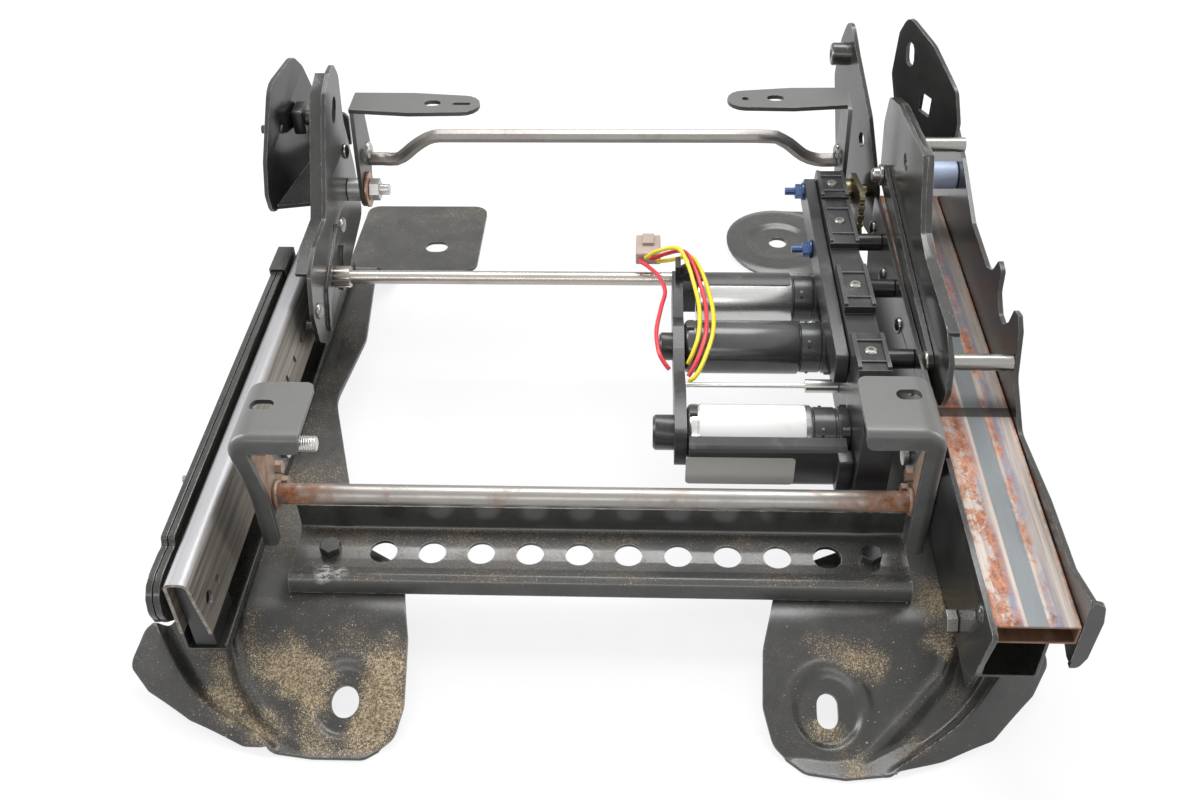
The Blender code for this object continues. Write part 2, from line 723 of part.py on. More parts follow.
def build_left_rail():
    """The bright left rail, its glide shoes and the channel it slides in."""
    rail = plate("XZ", band(rail_path(), RAIL_T), (RAIL_L_FRONT, RAIL_L_FRONT + RAIL_L_LEN))
    wall_x = rail_path()[4][0]
    middle_z = (RAIL_STEEP_Z + RAIL_FLARE_Z) / 2
    reach = (wall_x - 12, wall_x + 6)
    cuts = [block(reach, (RAIL_SLOT_Y + RAIL_SLOT_PITCH * i - 2, RAIL_SLOT_Y + RAIL_SLOT_PITCH * i + 2),
                  (middle_z - 4, middle_z + 4)) for i in range(RAIL_SLOT_COUNT)]
    cuts += [rod("X", (RAIL_L_FRONT + 12.5, middle_z), reach, 4, 14),
             rod("X", (RAIL_L_FRONT + 26.5, middle_z - 1.5), reach, 2.5, 12)]
    hand_over(cut(rail, cuts), "left_upper_rail", "zinc_steel")

    floor_z = WEB_Z + GAP + LOWER_T / 2
    inner_x = wall_x + 4
    outer_x = BAR_INNER_X + BAR_T / 2 + GAP + LOWER_T / 2
    channel = band([(outer_x, -9), (outer_x, floor_z), (inner_x, floor_z), (inner_x, LOWER_WALL_Z)],
                   LOWER_T)
    lower = plate("XZ", channel, (LOWER_FRONT, LOWER_FRONT + LOWER_LEN))
    hand_over(lower, "left_lower_rail", "black_coat")

    room = 0.6 + RAIL_T / 2
    path = rail_path()
    shoe = [(path[0][0] + room, floor_z + LOWER_T / 2 + GAP), (path[1][0] + room, path[1][1] - room),
            (path[2][0] - room, path[2][1] - room), (path[3][0] - room, path[3][1]),
            (path[4][0] - room, path[4][1]), (path[5][0] - room, floor_z + LOWER_T / 2 + GAP)]
    front = RAIL_L_FRONT + SHOE_INSET + 4
    hand_over(plate("XZ", shoe, (front, front + SHOE_LEN)), "left_glide_shoe", "black_plastic")


def build_guide_bars():
    """Two flat bars on edge outside the left rail, with a cap and a pin."""
    nose = (BAR_TOP_Z + BAR_BOTTOM_Z) / 2
    outline = rounded([(BAR_FRONT, BAR_TOP_Z - 4, 15), (BAR_FRONT, BAR_BOTTOM_Z, 16),
                       (BAR_REAR, BAR_BOTTOM_Z, 3), (BAR_REAR, BAR_TOP_Z, 2),
                       (BAR_FRONT + 36, BAR_TOP_Z, 2), (BAR_FRONT + 34, BAR_TOP_Z - 5, 2),
                       (BAR_FRONT + 28, BAR_TOP_Z - 4, 2)])
    inner = (BAR_INNER_X - BAR_T / 2, BAR_INNER_X + BAR_T / 2)
    outer_x = BAR_INNER_X - BAR_T - GAP
    outer = (outer_x - BAR_T / 2, outer_x + BAR_T / 2)
    hand_over(plate("YZ", outline, inner), "guide_bar_inner", "black_coat")
    hand_over(plate("YZ", outline, outer), "guide_bar_outer", "black_coat")
    left = outer[0] - GAP - CAP_T / 2
    right = inner[1] + GAP + CAP_T / 2
    top = BAR_TOP_Z + GAP + CAP_T / 2
    path = [(left, BAR_BOTTOM_Z + 14), (left, top), (right, top), (right, -6)]
    cap = plate("XZ", band(path, CAP_T), (BAR_REAR - CAP_LEN + 2, BAR_REAR + 2))
    hand_over(cap, "bar_cap", "black_coat")
    pin = rod("X", (109, nose + 3), (outer[0] - 9, outer[0] - GAP), 2.2, 14)
    hand_over(fuse(pin, [rod("X", (109, nose + 3), (outer[0] - 3, outer[0] - GAP), 3.4, 14)]),
              "bar_pin", "bare_steel")


def build_right_rail():
    """The rusty right tube, the channel under it and its glide blocks."""
    x = (TUBE_X - TUBE_W / 2, TUBE_X + TUBE_W / 2)
    tube = block(x, (0, TUBE_LEN), (-TUBE_H, 0))
    inside = block((x[0] + TUBE_WALL, x[1] - TUBE_WALL), (-5, TUBE_LEN + 5),
                   (-TUBE_H + TUBE_WALL, -TUBE_WALL))
    hand_over(cut(tube, [inside]), "right_upper_tube", "rusty_steel")
    floor_z = WEB_Z + GAP + LOWER_T / 2
    top = -TUBE_H - GAP
    walls = (TUBE_X - TUBE_W / 2 + 6.5, TUBE_X + TUBE_W / 2 - 6.5)
    path = [(walls[0], top), (walls[0], floor_z), (walls[1], floor_z), (walls[1], top)]
    hand_over(plate("XZ", band(path, LOWER_T), (LOWER_FRONT - 8, LOWER_FRONT + LOWER_LEN)),
              "right_lower_rail", "black_coat")
    edge = LOWER_T / 2 + GAP
    body = block((walls[0] + edge, walls[1] - edge), (BLOCK_Y, BLOCK_Y + SHOE_LEN),
                 (floor_z + edge, top))
    hand_over(body, "right_glide_block", "black_plastic")


def build_base_side_plate():
    """The fixed plate inside the right tube's front end, with a bolt and a rivet."""
    inner = TUBE_X - TUBE_W / 2 - GAP - PLATE_T
    outline = rounded([(-9, 2, 2), (118, 2, 2), (112, WEB_Z + GAP), (58, WEB_Z + GAP),
                       (30, WEB_Z + 6, 4), (4, WEB_Z + 2, 5)])
    side = plate("YZ", outline, (inner, inner + PLATE_T))
    rivet = turned_x((13, -6), [(0.0, inner + 1), (5.0, inner + 1), (5.0, inner - 1.2),
                                (3.4, inner - 2.4), (0.0, inner - 2.6)], 16)
    hand_over(fuse(side, [rivet]), "base_side_plate", "black_coat")
    head = hex_prism((40, -46), (inner - GAP - 6, inner - GAP), 12)
    hand_over(head, "side_plate_bolt", "bare_steel")


def build_cross_shaft():
    """The shaft that carries the slide drive across, with its toothed end."""
    end = SHAFT_X[0]
    shaft = rod("X", (SHAFT_Y, SHAFT_Z), SHAFT_X, SHAFT_R, 16)
    outline = []
    for tooth in range(PINION_TEETH):
        for share, radius in ((0.0, PINION_R - 1.5), (0.3, PINION_R - 1.5), (0.45, PINION_R),
                              (0.85, PINION_R)):
            turn = 2 * math.pi * (tooth + share) / PINION_TEETH
            outline.append((SHAFT_Y + radius * math.cos(turn), SHAFT_Z + radius * math.sin(turn)))
    gear = plate("YZ", outline, (end - PINION_LEN, end + 1))
    hand_over(fuse(shaft, [gear]), "cross_shaft", "zinc_steel")


def front_bracket(side, top_x, leg_x, top_z):
    """An L bracket: top flange, leg that leans inboard to its rear pivot lobe, and a front lip."""
    inboard = top_x - side * FLANGE_W
    low_y, high_y = FLANGE_Y
    under = top_z - BRACKET_T
    flange = rounded([(top_x, low_y, 3), (inboard, low_y, 5), (inboard, high_y, 4),
                      (top_x, high_y, 10)])
    hole = (top_x - side * FLANGE_W * 0.4, (low_y + high_y) / 2 + 4)
    flange = plate("XY", flange, (under, top_z), [slot(hole, 12, 8)])
    half = side * BRACKET_T / 2
    path = [(top_x - half, top_z), (top_x - half, top_z - 8), (leg_x - half, 8),
            (leg_x - half, LEG_BOTTOM_Z - 5)]
    leg = plate("XZ", band(path, BRACKET_T), (low_y, FRONT_PIVOT_Y + 20))
    form = rounded([(low_y, top_z + 1), (high_y, top_z + 1), (high_y, top_z - 6, 6), (high_y - 6, 30, 10),
                    (TORQUE_Y + 16, 8, 12), (FRONT_PIVOT_Y + 6, FRONT_PIVOT_Z + 11, 10),
                    (FRONT_PIVOT_Y + 10, FRONT_PIVOT_Z - 10, 9), (TORQUE_Y + 10, -22, 10),
                    (low_y + 14, LEG_BOTTOM_Z, 6), (low_y, LEG_BOTTOM_Z, 3)])
    boolean(leg, plate("YZ", form, sorted((top_x + side * 5, leg_x - side * 9))), "INTERSECT")
    cut(leg, [rod("X", (FRONT_PIVOT_Y, FRONT_PIVOT_Z), sorted((leg_x + side * 5, leg_x - side * 9)),
                  PIVOT_R + RUNNING)])
    lip = rounded([(top_x, top_z, 4), (inboard, top_z, 3), (inboard, top_z - LIP_H, 4),
                   (top_x - side * (LEG_LIP_W + 3), top_z - LIP_H, 5),
                   (leg_x - side * LEG_LIP_W, 10), (leg_x - side * LEG_LIP_W, LEG_BOTTOM_Z + 3, 3),
                   (leg_x, LEG_BOTTOM_Z, 2), (leg_x, 8), (top_x, top_z - 8)])
    lip = plate("XZ", lip, (low_y, low_y + BRACKET_T))
    return fuse(flange, [leg, lip])


def build_front_lift():
    """Torque tube, brackets, crank plates, threaded stud and the pivot bolts they turn on."""
    left_crank = LEG_L_X + BRACKET_T + GAP
    right_crank = LEG_R_X - BRACKET_T - GAP
    ends = (left_crank + CRANK_T + GAP, right_crank - CRANK_T - GAP)
    inner_r = TORQUE_R - TORQUE_WALL
    profile = [(inner_r, ends[1]), (TORQUE_R, ends[1]), (TORQUE_R, ends[0]), (inner_r, ends[0]),
               (inner_r, ends[1])]
    hand_over(turned_x((TORQUE_Y, TORQUE_Z), profile), "torque_tube", "bare_steel")
    left = front_bracket(-1, LEG_L_TOP_X, LEG_L_X, FLANGE_L_Z)
    hand_over(left, "left_front_bracket", "grey_coat")
    hand_over(front_bracket(1, LEG_R_X, LEG_R_X, FLANGE_R_Z), "right_front_bracket", "grey_coat")
    for name, low in (("left_crank", left_crank), ("right_crank", right_crank - CRANK_T)):
        outline = link_outline((TORQUE_Y + 4, TORQUE_Z + 1, 12), (STUD_YZ[0], STUD_YZ[1], 7.5))
        crank = plate("YZ", outline, (low, low + CRANK_T))
        face = low + CRANK_T if name == "left_crank" else low
        out = 4 if name == "left_crank" else -4
        nuts = [hex_prism(at, sorted((face - out / 8, face + out)), 7)
                for at in ((TORQUE_Y + 10, TORQUE_Z + 11), (TORQUE_Y + 13, TORQUE_Z - 4))]
        hand_over(fuse(crank, nuts), name, "rusty_steel")
    stud = rod("X", STUD_YZ, (left_crank + CRANK_T + GAP, STUD_END_X), STUD_R, 16)
    collar = hex_prism(STUD_YZ, (left_crank + CRANK_T + GAP, left_crank + CRANK_T + 7), 12)
    hand_over(fuse(stud, [collar]), "front_stud", "zinc_steel")

    at = (FRONT_PIVOT_Y, FRONT_PIVOT_Z)
    share = (FRONT_PIVOT_Z + RAIL_T / 2) / (RAIL_STEEP_Z + RAIL_T / 2)
    wall = rail_path()[2][0] + RAIL_LEAN * share + RAIL_T / 2 + 3 * GAP
    head = LEG_L_X + BRACKET_T + GAP
    profile = [(0.0, head + 3), (6.5, head + 3), (6.5, head), (PIVOT_R, head), (PIVOT_R, LEG_L_X - GAP),
               (7.0, LEG_L_X - GAP), (7.0, LEG_L_X - 4), (PIVOT_R, LEG_L_X - 4), (PIVOT_R, wall),
               (0.0, wall)]
    hand_over(turned_x(at, profile, 18), "left_front_pivot", "zinc_steel")
    head = LEG_R_X - BRACKET_T - GAP
    end = CARRIAGE_X - GAP
    profile = [(0.0, end), (7.0, end), (7.0, LEG_R_X + GAP), (PIVOT_R, LEG_R_X + GAP),
               (PIVOT_R, head), (6.5, head), (6.5, head - 3), (0.0, head - 3)]
    hand_over(turned_x(at, profile, 18), "right_front_pivot", "zinc_steel")


def strap_arm(side, strap_x, arm_end):
    """A strap: an upright plate from the rear pivot and a flat arm bent inboard."""
    inner = strap_x - side * STRAP_T
    upright = rounded([(REAR_PIVOT_Y + 14, REAR_PIVOT_Z - 12, 13),
                       (REAR_PIVOT_Y + 30, REAR_PIVOT_Z + 20, 12), (REAR_PIVOT_Y + 22, ARM_Z, 4),
                       (REAR_PIVOT_Y - 4, ARM_Z, 4), (REAR_PIVOT_Y - 10, REAR_PIVOT_Z + 30, 12),
                       (REAR_PIVOT_Y - 14, REAR_PIVOT_Z - 12, 13)])
    upright = plate("YZ", upright, sorted((strap_x, inner)),
                    [circle((REAR_PIVOT_Y, REAR_PIVOT_Z), REAR_PIVOT_R + RUNNING, 16)])
    middle = ARM_Y[0] if side < 0 else ARM_Y[1]
    tip = arm_end + side * ARM_R
    arm = [(strap_x, middle + 13), (strap_x, middle - 13)]
    shoulder = strap_x + (tip - strap_x) * 0.55
    arm += [(shoulder, middle - ARM_R - 5), (tip, middle - ARM_R - 4)]
    for step in range(1, 8):
        turn = math.pi * step / 8
        arm.append((tip - side * ARM_R * math.sin(turn),
                    middle - 4 - ARM_R * math.cos(turn)))
    arm += [(tip, middle + ARM_R - 4), (shoulder, middle + ARM_R)]
    holes = [slot((tip + side * 21, middle - 3), 12, 8)]
    holes.append(slot((tip - 0.5, middle - 4), 13, 3.6) if side < 0 else
                 circle((tip, middle - 4), 2.4, 14))
    arm = plate("XY", arm, (ARM_Z - STRAP_T, ARM_Z), holes)
    rivet = turned_x((REAR_PIVOT_Y + 2, REAR_PIVOT_Z + 27),
                     [(0.0, 2.4), (3.2, 2.2), (5.0, 0.9), (5.0, -1.0), (0.0, -1.0)], 16)
    rivet.location.x += (inner - 0) * MM
    if side > 0:
        rivet.data.transform(Matrix.Diagonal((-1, 1, 1, 1)))
        rivet.data.flip_normals()
    return fuse(upright, [arm, rivet])


def build_rear_lift():
    """Bent bar, strap arms, pivot bolt with copper washer, and the sector gear."""
    y, z = BAR_END_YZ
    left = STRAP_L_X + STRAP_T + GAP
    right = STRAP_R_X - STRAP_T - GAP
    top = z + BAR_RISE
    route = [(left, y, z), (left + 10, y, z), (left + 22, y, z + 0.5), (left + 36, y, z + BAR_RISE * 0.6),
             (left + 48, y, top - 1), (left + 64, y, top), (0, y, top), (right - 58, y, top),
             (right - 40, y, top - 3), (right - 24, y, z + 4), (right - 12, y, z), (right, y, z)]
    even = smooth_route(route, 5.0)
    bends = [p for p in even if p.x < left + 66 or p.x > right - 60]
    hand_over(pipe(bends, BAR_R, 2), "rear_bar", "bare_steel")
    hand_over(strap_arm(-1, STRAP_L_X, ARM_L_END), "left_strap_arm", "grey_coat")
    hand_over(strap_arm(1, STRAP_R_X, ARM_R_END), "right_strap_arm", "grey_coat")

    at = (REAR_PIVOT_Y, REAR_PIVOT_Z)
    plate_in = INNER_L_X + PLATE_T
    washer = STRAP_L_X + STRAP_T + GAP
    nut = washer + WASHER_T + GAP
    profile = [(0.0, nut + 14), (3.5, nut + 14), (4.0, nut + 13), (4.0, washer - 2 * GAP),
               (REAR_PIVOT_R, washer - 2 * GAP), (REAR_PIVOT_R, STRAP_L_X - GAP),
               (8.5, STRAP_L_X - GAP), (8.5, plate_in + GAP), (REAR_PIVOT_R, plate_in + GAP),
               (REAR_PIVOT_R, INNER_L_X - GAP), (8.0, INNER_L_X - GAP), (8.0, INNER_L_X - 4),
               (0.0, INNER_L_X - 4)]
    bolt = turned_x(at, profile)
    hand_over(fuse(bolt, [hex_prism(at, (nut, nut + 7), 14)]), "rear_pivot_bolt", "zinc_steel")
    ring = [(4.0 + RUNNING, washer + WASHER_T), (WASHER_R, washer + WASHER_T), (WASHER_R, washer),
            (4.0 + RUNNING, washer), (4.0 + RUNNING, washer + WASHER_T)]
    hand_over(turned_x(at, ring), "pivot_washer", "copper_wash")

    outline = []
    root = SECTOR_R - SECTOR_TOOTH
    first, last = math.radians(150), math.radians(226)
    pitch = (last - first) / SECTOR_TEETH
    for tooth in range(SECTOR_TEETH):
        for share, radius in ((0.0, root), (0.3, root), (0.45, SECTOR_R), (0.85, SECTOR_R)):
            turn = first + pitch * (tooth + share)
            outline.append((at[0] + radius * math.cos(turn), at[1] + radius * math.sin(turn)))
    for step in range(9):
        turn = math.radians(-90 + 22.5 * step)
        outline.append((at[0] + 13 * math.cos(turn), at[1] + 13 * math.sin(turn)))
    sector = plate("YZ", outline, (SECTOR_X, SECTOR_X + SECTOR_T))
    hub = rod("X", at, (STRAP_R_X + GAP, SECTOR_X + SECTOR_T + 2), 9, 20)
    pin = rod("X", at, (right - 3, SECTOR_PIN_END), REAR_PIVOT_R)
    hand_over(fuse(sector, [hub, pin]), "sector_gear", "gold_zinc")


def build_left_bracket():
    """The left rear bracket: inner flanged plate, and outer plate with its floor and web."""
    face = INNER_L_X + PLATE_T
    front_edge = [(262, 22), (282, 29), (316, 30), (328, 44), (344, 68), (367, 96), (388, 102)]
    outline = rounded([(399, 104, 6), (407, 92, 8), (400, 60, 10), (409, 20, 10), (410, -22, 10),
                       (358, -31, 8), (330, -41, 6), (270, -41, 8), (253, -27, 6), (251, -4, 8),
                       (262, 22, 8), (282, 30, 8), (316, 30, 8), (328, 44, 8), (344, 68, 8),
                       (367, 97, 8), (386, 104, 8)])
    holes = [slot((381, 78), 20, 10, 40), circle((REAR_PIVOT_Y, REAR_PIVOT_Z), REAR_PIVOT_R + RUNNING, 16)]
    inner = plate("YZ", outline, (INNER_L_X, face), holes)
    path = [(y + 1.6, z - 1.6) for y, z in front_edge]
    turn = plate("YZ", band(path, PLATE_T), (INNER_L_X - FLANGE_TURN, face - 0.5))
    ribs = [plate("YZ", slot(((a[0] + b[0]) / 2, (a[1] + b[1]) / 2), math.dist(a, b) + 5, 5,
                             math.degrees(math.atan2(b[1] - a[1], b[0] - a[0]))), (face - 1, face + 2))
            for a, b in (((334, 12), (287, -8)), ((287, -8), (276, -32)), ((340, -8), (322, -30)))]
    rivets = []
    for at in ((350, 4), (263, -8), (392, 40)):
        dome = turned_x(at, [(0.0, face + 2.4), (3.4, face + 2.1), (5.2, face + 0.9),
                             (5.2, face - 1.0), (0.0, face - 1.0)], 16)
        rivets.append(dome)
    seats = [rod("X", (y, -24), (rail_face(-29) + 0.1, INNER_L_X + 1), 5, 18) for y in (266, 336)]
    hand_over(fuse(inner, [turn] + ribs + rivets + seats), "left_inner_bracket", "black_coat")

    start = Vector(OUTER_L_A)
    length = (Vector(OUTER_L_B) - start).length
    lower = BRACKET_FLOOR_Z - PLATE_T
    outline = rounded([(0, lower, 6), (length, lower, 4), (length, 38, 8), (length - 24, 92, 8),
                       (length - 36, 105, 12), (34, 103, 16), (6, 60, 12), (-2, 38, 8)])
    outer = slanted_plate(OUTER_L_A, OUTER_L_B, outline, PLATE_T)
    reach = INNER_L_X - GAP
    floor = plate("XY", [(OUTER_L_A[0] - 1, OUTER_L_A[1] + 6), (reach, OUTER_L_A[1] + 14),
                         (reach, OUTER_L_B[1] - 42), (OUTER_L_B[0] + 10, OUTER_L_B[1] - 4),
                         (OUTER_L_B[0], OUTER_L_B[1])], (lower, BRACKET_FLOOR_Z))
    web_y = OUTER_L_B[1] - 8
    web = [(-1.5, lower), (20, lower), (21, 44, 3), (16, 50, 4), (10, 42, 6), (5, 50, 3), (-2.5, 50)]
    web = rounded([(OUTER_L_B[0] + corner[0], *corner[1:]) for corner in web])
    web = plate("XZ", web, (web_y - PLATE_T, web_y))
    pin = rod("X", (372, 68), (OUTER_L_A[0] - 7, OUTER_L_A[0] + 8), 3, 16)
    post = block((reach - 14, reach), (346, 352), (lower - 1, BRACKET_FLOOR_Z - 1))
    hand_over(fuse(outer, [floor, web, pin, post]), "left_outer_bracket", "black_coat")
    angle = math.atan2(OUTER_L_B[0] - OUTER_L_A[0], OUTER_L_B[1] - OUTER_L_A[1])
    share = (391 - OUTER_L_A[1]) / (OUTER_L_B[1] - OUTER_L_A[1])
    face_x = OUTER_L_A[0] + (OUTER_L_B[0] - OUTER_L_A[0]) * share + PLATE_T / 2 / math.cos(angle)
    seat = face_x + 1.4
    boss = block((seat, seat + 9), (382, 400), (58, 76), 2)
    boss = fuse(boss, [rod("X", (391, 67), (seat + 5, seat + 12), 5.5, 18)])
    hand_over(boss, "bracket_boss", "black_plastic")


def build_right_brackets():
    """The right rear brackets, which toe in to the rear."""
    length = math.dist(INNER_R_A, INNER_R_B)
    outline = rounded([(-3, -12, 3), (length - 22, -12, 10), (length - 10, 14, 12), (length + 10, 62, 14),
                       (length + 4, 92, 10), (length - 8, 114, 8), (length - 28, 96, 14),
                       (30, 66, 14), (-3, 24, 10)])
    holes = [circle((38, 44), 5.5, 16)]
    inner = slanted_plate(INNER_R_A, INNER_R_B, outline, PLATE_T, holes)
    cut(inner, [rod("X", (REAR_PIVOT_Y, REAR_PIVOT_Z), (CARRIAGE_X - 31, CARRIAGE_X + 19),
                    REAR_PIVOT_R + RUNNING)])
    share = 0.86
    x = INNER_R_A[0] + (INNER_R_B[0] - INNER_R_A[0]) * share
    y = INNER_R_A[1] + (INNER_R_B[1] - INNER_R_A[1]) * share
    bush = turned_x((y, 88), [(3.5, x + 0.5), (8.0, x + 0.5), (8.0, x - 13), (6.8, x - 14),
                              (3.5, x - 14), (3.5, x + 0.5)], 18)
    hand_over(fuse(inner, [bush]), "right_inner_bracket", "black_coat")

    length = math.dist(LOBE_A, LOBE_B)
    outline = rounded([(2, 52, 4), (24, 40, 8), (length - 10, 46, 10), (length + 2, 74, 10),
                       (length, 106, 6), (length - 8, 121, 8), (length - 40, 112, 20), (10, 92, 12),
                       (2, 72, 6)])
    holes = [slot((length - 16, 96), 17, 9, 80), rounded([(34, 62), (46, 62), (46, 76), (34, 76)])]
    lobe = slanted_plate(LOBE_A, LOBE_B, outline, PLATE_T, holes)
    hand_over(lobe, "right_outer_lobe", "black_coat")


def build_right_carriage():
    """Plates, spacers, bush and link on the right side of the carriage."""
    rear = INNER_R_A[1] - 4
    carriage = rounded([(118, -11, 4), (142, -44, 12), (rear - 14, -44, 10), (rear, -12, 8), (rear, 24, 4),
                        (118, 24, 6)])
    rivets = []
    for at in ((352, 2), (300, -2), (236, 4), (180, 0)):
        rivets.append(turned_x(at, [(0.0, CARRIAGE_X + 1), (5.0, CARRIAGE_X + 1), (5.0, CARRIAGE_X - 1),
                                    (3.2, CARRIAGE_X - 2.3), (0.0, CARRIAGE_X - 2.6)], 16))
    side = plate("YZ", carriage, (CARRIAGE_X, CARRIAGE_X + PLATE_T))
    hand_over(fuse(side, rivets), "carriage_plate", "black_coat")

    face = LEVER_X + PLATE_T
    top = [(392, 80.5), (362, 90), (307, 96), (278, 100.5), (265, 80), (251, 62.5), (228, 58.5), (156, 58.5)]
    lever = rounded([(394, 82, 6), (362, 92, 8), (307, 98, 8), (276, 103, 8), (263, 80, 8),
                     (250, 64, 8), (228, 60, 8), (160, 60, 8), (142, 50, 6), (136, 32, 8),
                     (142, 17, 8), (160, 13, 6), (341, 19, 20), (372, 22, 10), (390, 30, 8),
                     (400, 60, 10)])
    holes = [circle(BUSH_YZ, PIVOT_R + RUNNING, 16), circle(LEVER_FRONT_YZ, PIVOT_R + RUNNING, 16),
             slot((318, 74), 16, 8, 10)]
    lever = plate("YZ", lever, (LEVER_X, face), holes)
    turn = plate("YZ", band(top, PLATE_T), (LEVER_X + 0.5, face + LEVER_TURN))
    hand_over(fuse(lever, [turn]), "lever_plate", "black_coat")

    low = LEVER_X - 0.4 - PLATE_T
    outline = link_outline((*BUSH_YZ, LINK_W / 2 + 1), (*LEVER_FRONT_YZ, LINK_W / 2 + 1))
    holes = [circle(BUSH_YZ, PIVOT_R + RUNNING, 16), circle(LEVER_FRONT_YZ, PIVOT_R + RUNNING, 16)]
    hand_over(plate("YZ", outline, (low, low + PLATE_T), holes), "side_link", "black_coat")

    outer = rounded([(0, 18, 3), (31, 8, 6), (80, 7, 10), (140, 0, 12), (168, 18, 10), (178, 44, 3),
                     (186, 50, 2), (194, 48, 2), (198, 36, 5), (206, 28, 5), (216, 28, 5),
                     (228, 36, 5), (230, 50, 2), (239, 52, 2), (246, 40, 5), (258, 34, 6),
                     (305, 36, 10), (332, 46, 10), (357, 55, 8), (404, 66, 8), (440, 62, 10),
                     (446, 20, 12), (420, -20, 8), (24, -22, 8), (0, -32, 4)])
    holes = [circle(BUSH_YZ, PIVOT_R + RUNNING, 16), circle(LEVER_FRONT_YZ, 0.1, 3)][:1]
    outer = plate("YZ", outer, (OUTER_R_X, OUTER_R_X + PLATE_T), holes)
    end = rounded([(OUTER_R_X + 0.5, 18), (OUTER_R_X + 7, 16, 3), (OUTER_R_X + 9, 4, 3),
                   (OUTER_R_X + 8, -24, 4), (OUTER_R_X + 5, -32, 3), (OUTER_R_X + 0.5, -32)])
    hand_over(fuse(outer, [plate("XZ", end, (0, PLATE_T))]), "outer_side_plate", "black_coat")

    inside = OUTER_R_X - GAP
    ring = [(PIVOT_R + RUNNING, inside), (BUSH_R, inside), (BUSH_R, inside - BUSH_LEN + 4),
            (BUSH_R - 1.5, inside - BUSH_LEN), (PIVOT_R + RUNNING, inside - BUSH_LEN),
            (PIVOT_R + RUNNING, inside)]
    hand_over(turned_x(BUSH_YZ, ring), "nylon_bush", "pale_nylon")
    head = OUTER_R_X + PLATE_T + GAP
    stop = low - GAP
    coil = face + GAP
    profile = [(0.0, head + 4), (6.0, head + 3.4), (6.0, head), (PIVOT_R, head), (PIVOT_R, coil + 8),
               (6.5, coil + 8), (7.5, coil + 6), (6.5, coil + 4), (7.5, coil + 2), (6.5, coil),
               (PIVOT_R, coil), (PIVOT_R, stop),
               (7.5, stop), (7.5, stop - 2), (5.0, stop - 2), (5.0, stop - 6), (PIVOT_R, stop - 7),
               (0.0, stop - 7)]
    hand_over(turned_x(BUSH_YZ, profile), "bush_pin", "zinc_steel")
    profile = [(0.0, inside), (SPACER_R, inside), (SPACER_R, face + GAP), (PIVOT_R, face + GAP),
               (PIVOT_R, low + GAP), (0.0, low + GAP)]
    hand_over(turned_x(LEVER_FRONT_YZ, profile), "lower_spacer", "zinc_steel")
    rod_span = (face + GAP, inside)
    hand_over(rod("X", UPPER_SPACER_YZ, rod_span, SPACER_R, 18), "upper_spacer", "zinc_steel")


def build_gear_housing():
    """The stepped gear housing, its cover strip, bosses and the two studs."""
    low, high = HOUSE_Y
    top = [(high, 30), (high - 3, 37), (high - 40, 38.5), (high - 40, 36), (high - 96, 38), (high - 96, 34),
           (high - 122, 35), (high - 122, 40), (high - 170, 42), (high - 170, 37), (high - 196, 38),
           (high - 196, 43), (low + 34, 44), (low + 30, 38), (low + 8, 36), (low, 28)]
    outline = top + [(low, -20), (low + 10, HOUSE_BOTTOM_Z), (high - 60, HOUSE_BOTTOM_Z),
                     (high - 20, -14), (high, -10)]
    housing = plate("YZ", outline, HOUSE_X)
    bosses = [rod("X", at, (HOUSE_X[1] - 1, CARRIAGE_X - GAP), HOUSE_BOSS_R, 16)
              for at in HOUSE_BOSS_YZ]
    bore = rod("X", (SHAFT_Y, SHAFT_Z), (HOUSE_X[0] - 5, HOUSE_X[0] + 8), SHAFT_R + RUNNING, 20)
    hand_over(cut(fuse(housing, bosses), [bore]), "gear_housing", "black_plastic")

    face = HOUSE_X[0] - GAP
    strip = rounded([(high - 2, 12, 3), (high - 2, 34, 9), (high - 60, 32, 3), (low + 60, 33, 4),
                     (low + 56, 14, 3)])
    cover = plate("YZ", strip, (face - COVER_T, face))
    hand_over(cover, "housing_cover", "black_plastic")
    for name, at in (("housing_stud_rear", (high - 14, 27)), ("housing_stud_front", (high - 76, 20))):
        start = face - COVER_T - GAP
        stud = rod("X", at, (start - 13, start), 2.6, 12)
        nut = hex_prism(at, (start - 6, start), 9)
        flange = rod("X", at, (start - 1.6, start), 6.2, 16)
        hand_over(fuse(stud, [nut, flange]), name, "blue_nut")


def motor(y, left, nose_from):
    """A motor can with its gear nose."""
    profile = [(0.0, MOTOR_SEAT_X), (NOSE_R, MOTOR_SEAT_X), (NOSE_R, nose_from), (MOTOR_R, nose_from - 1),
               (MOTOR_R, left + 2), (MOTOR_R - 2, left), (0.0, left)]
    return turned_x((y, MOTOR_Z), profile, 24)


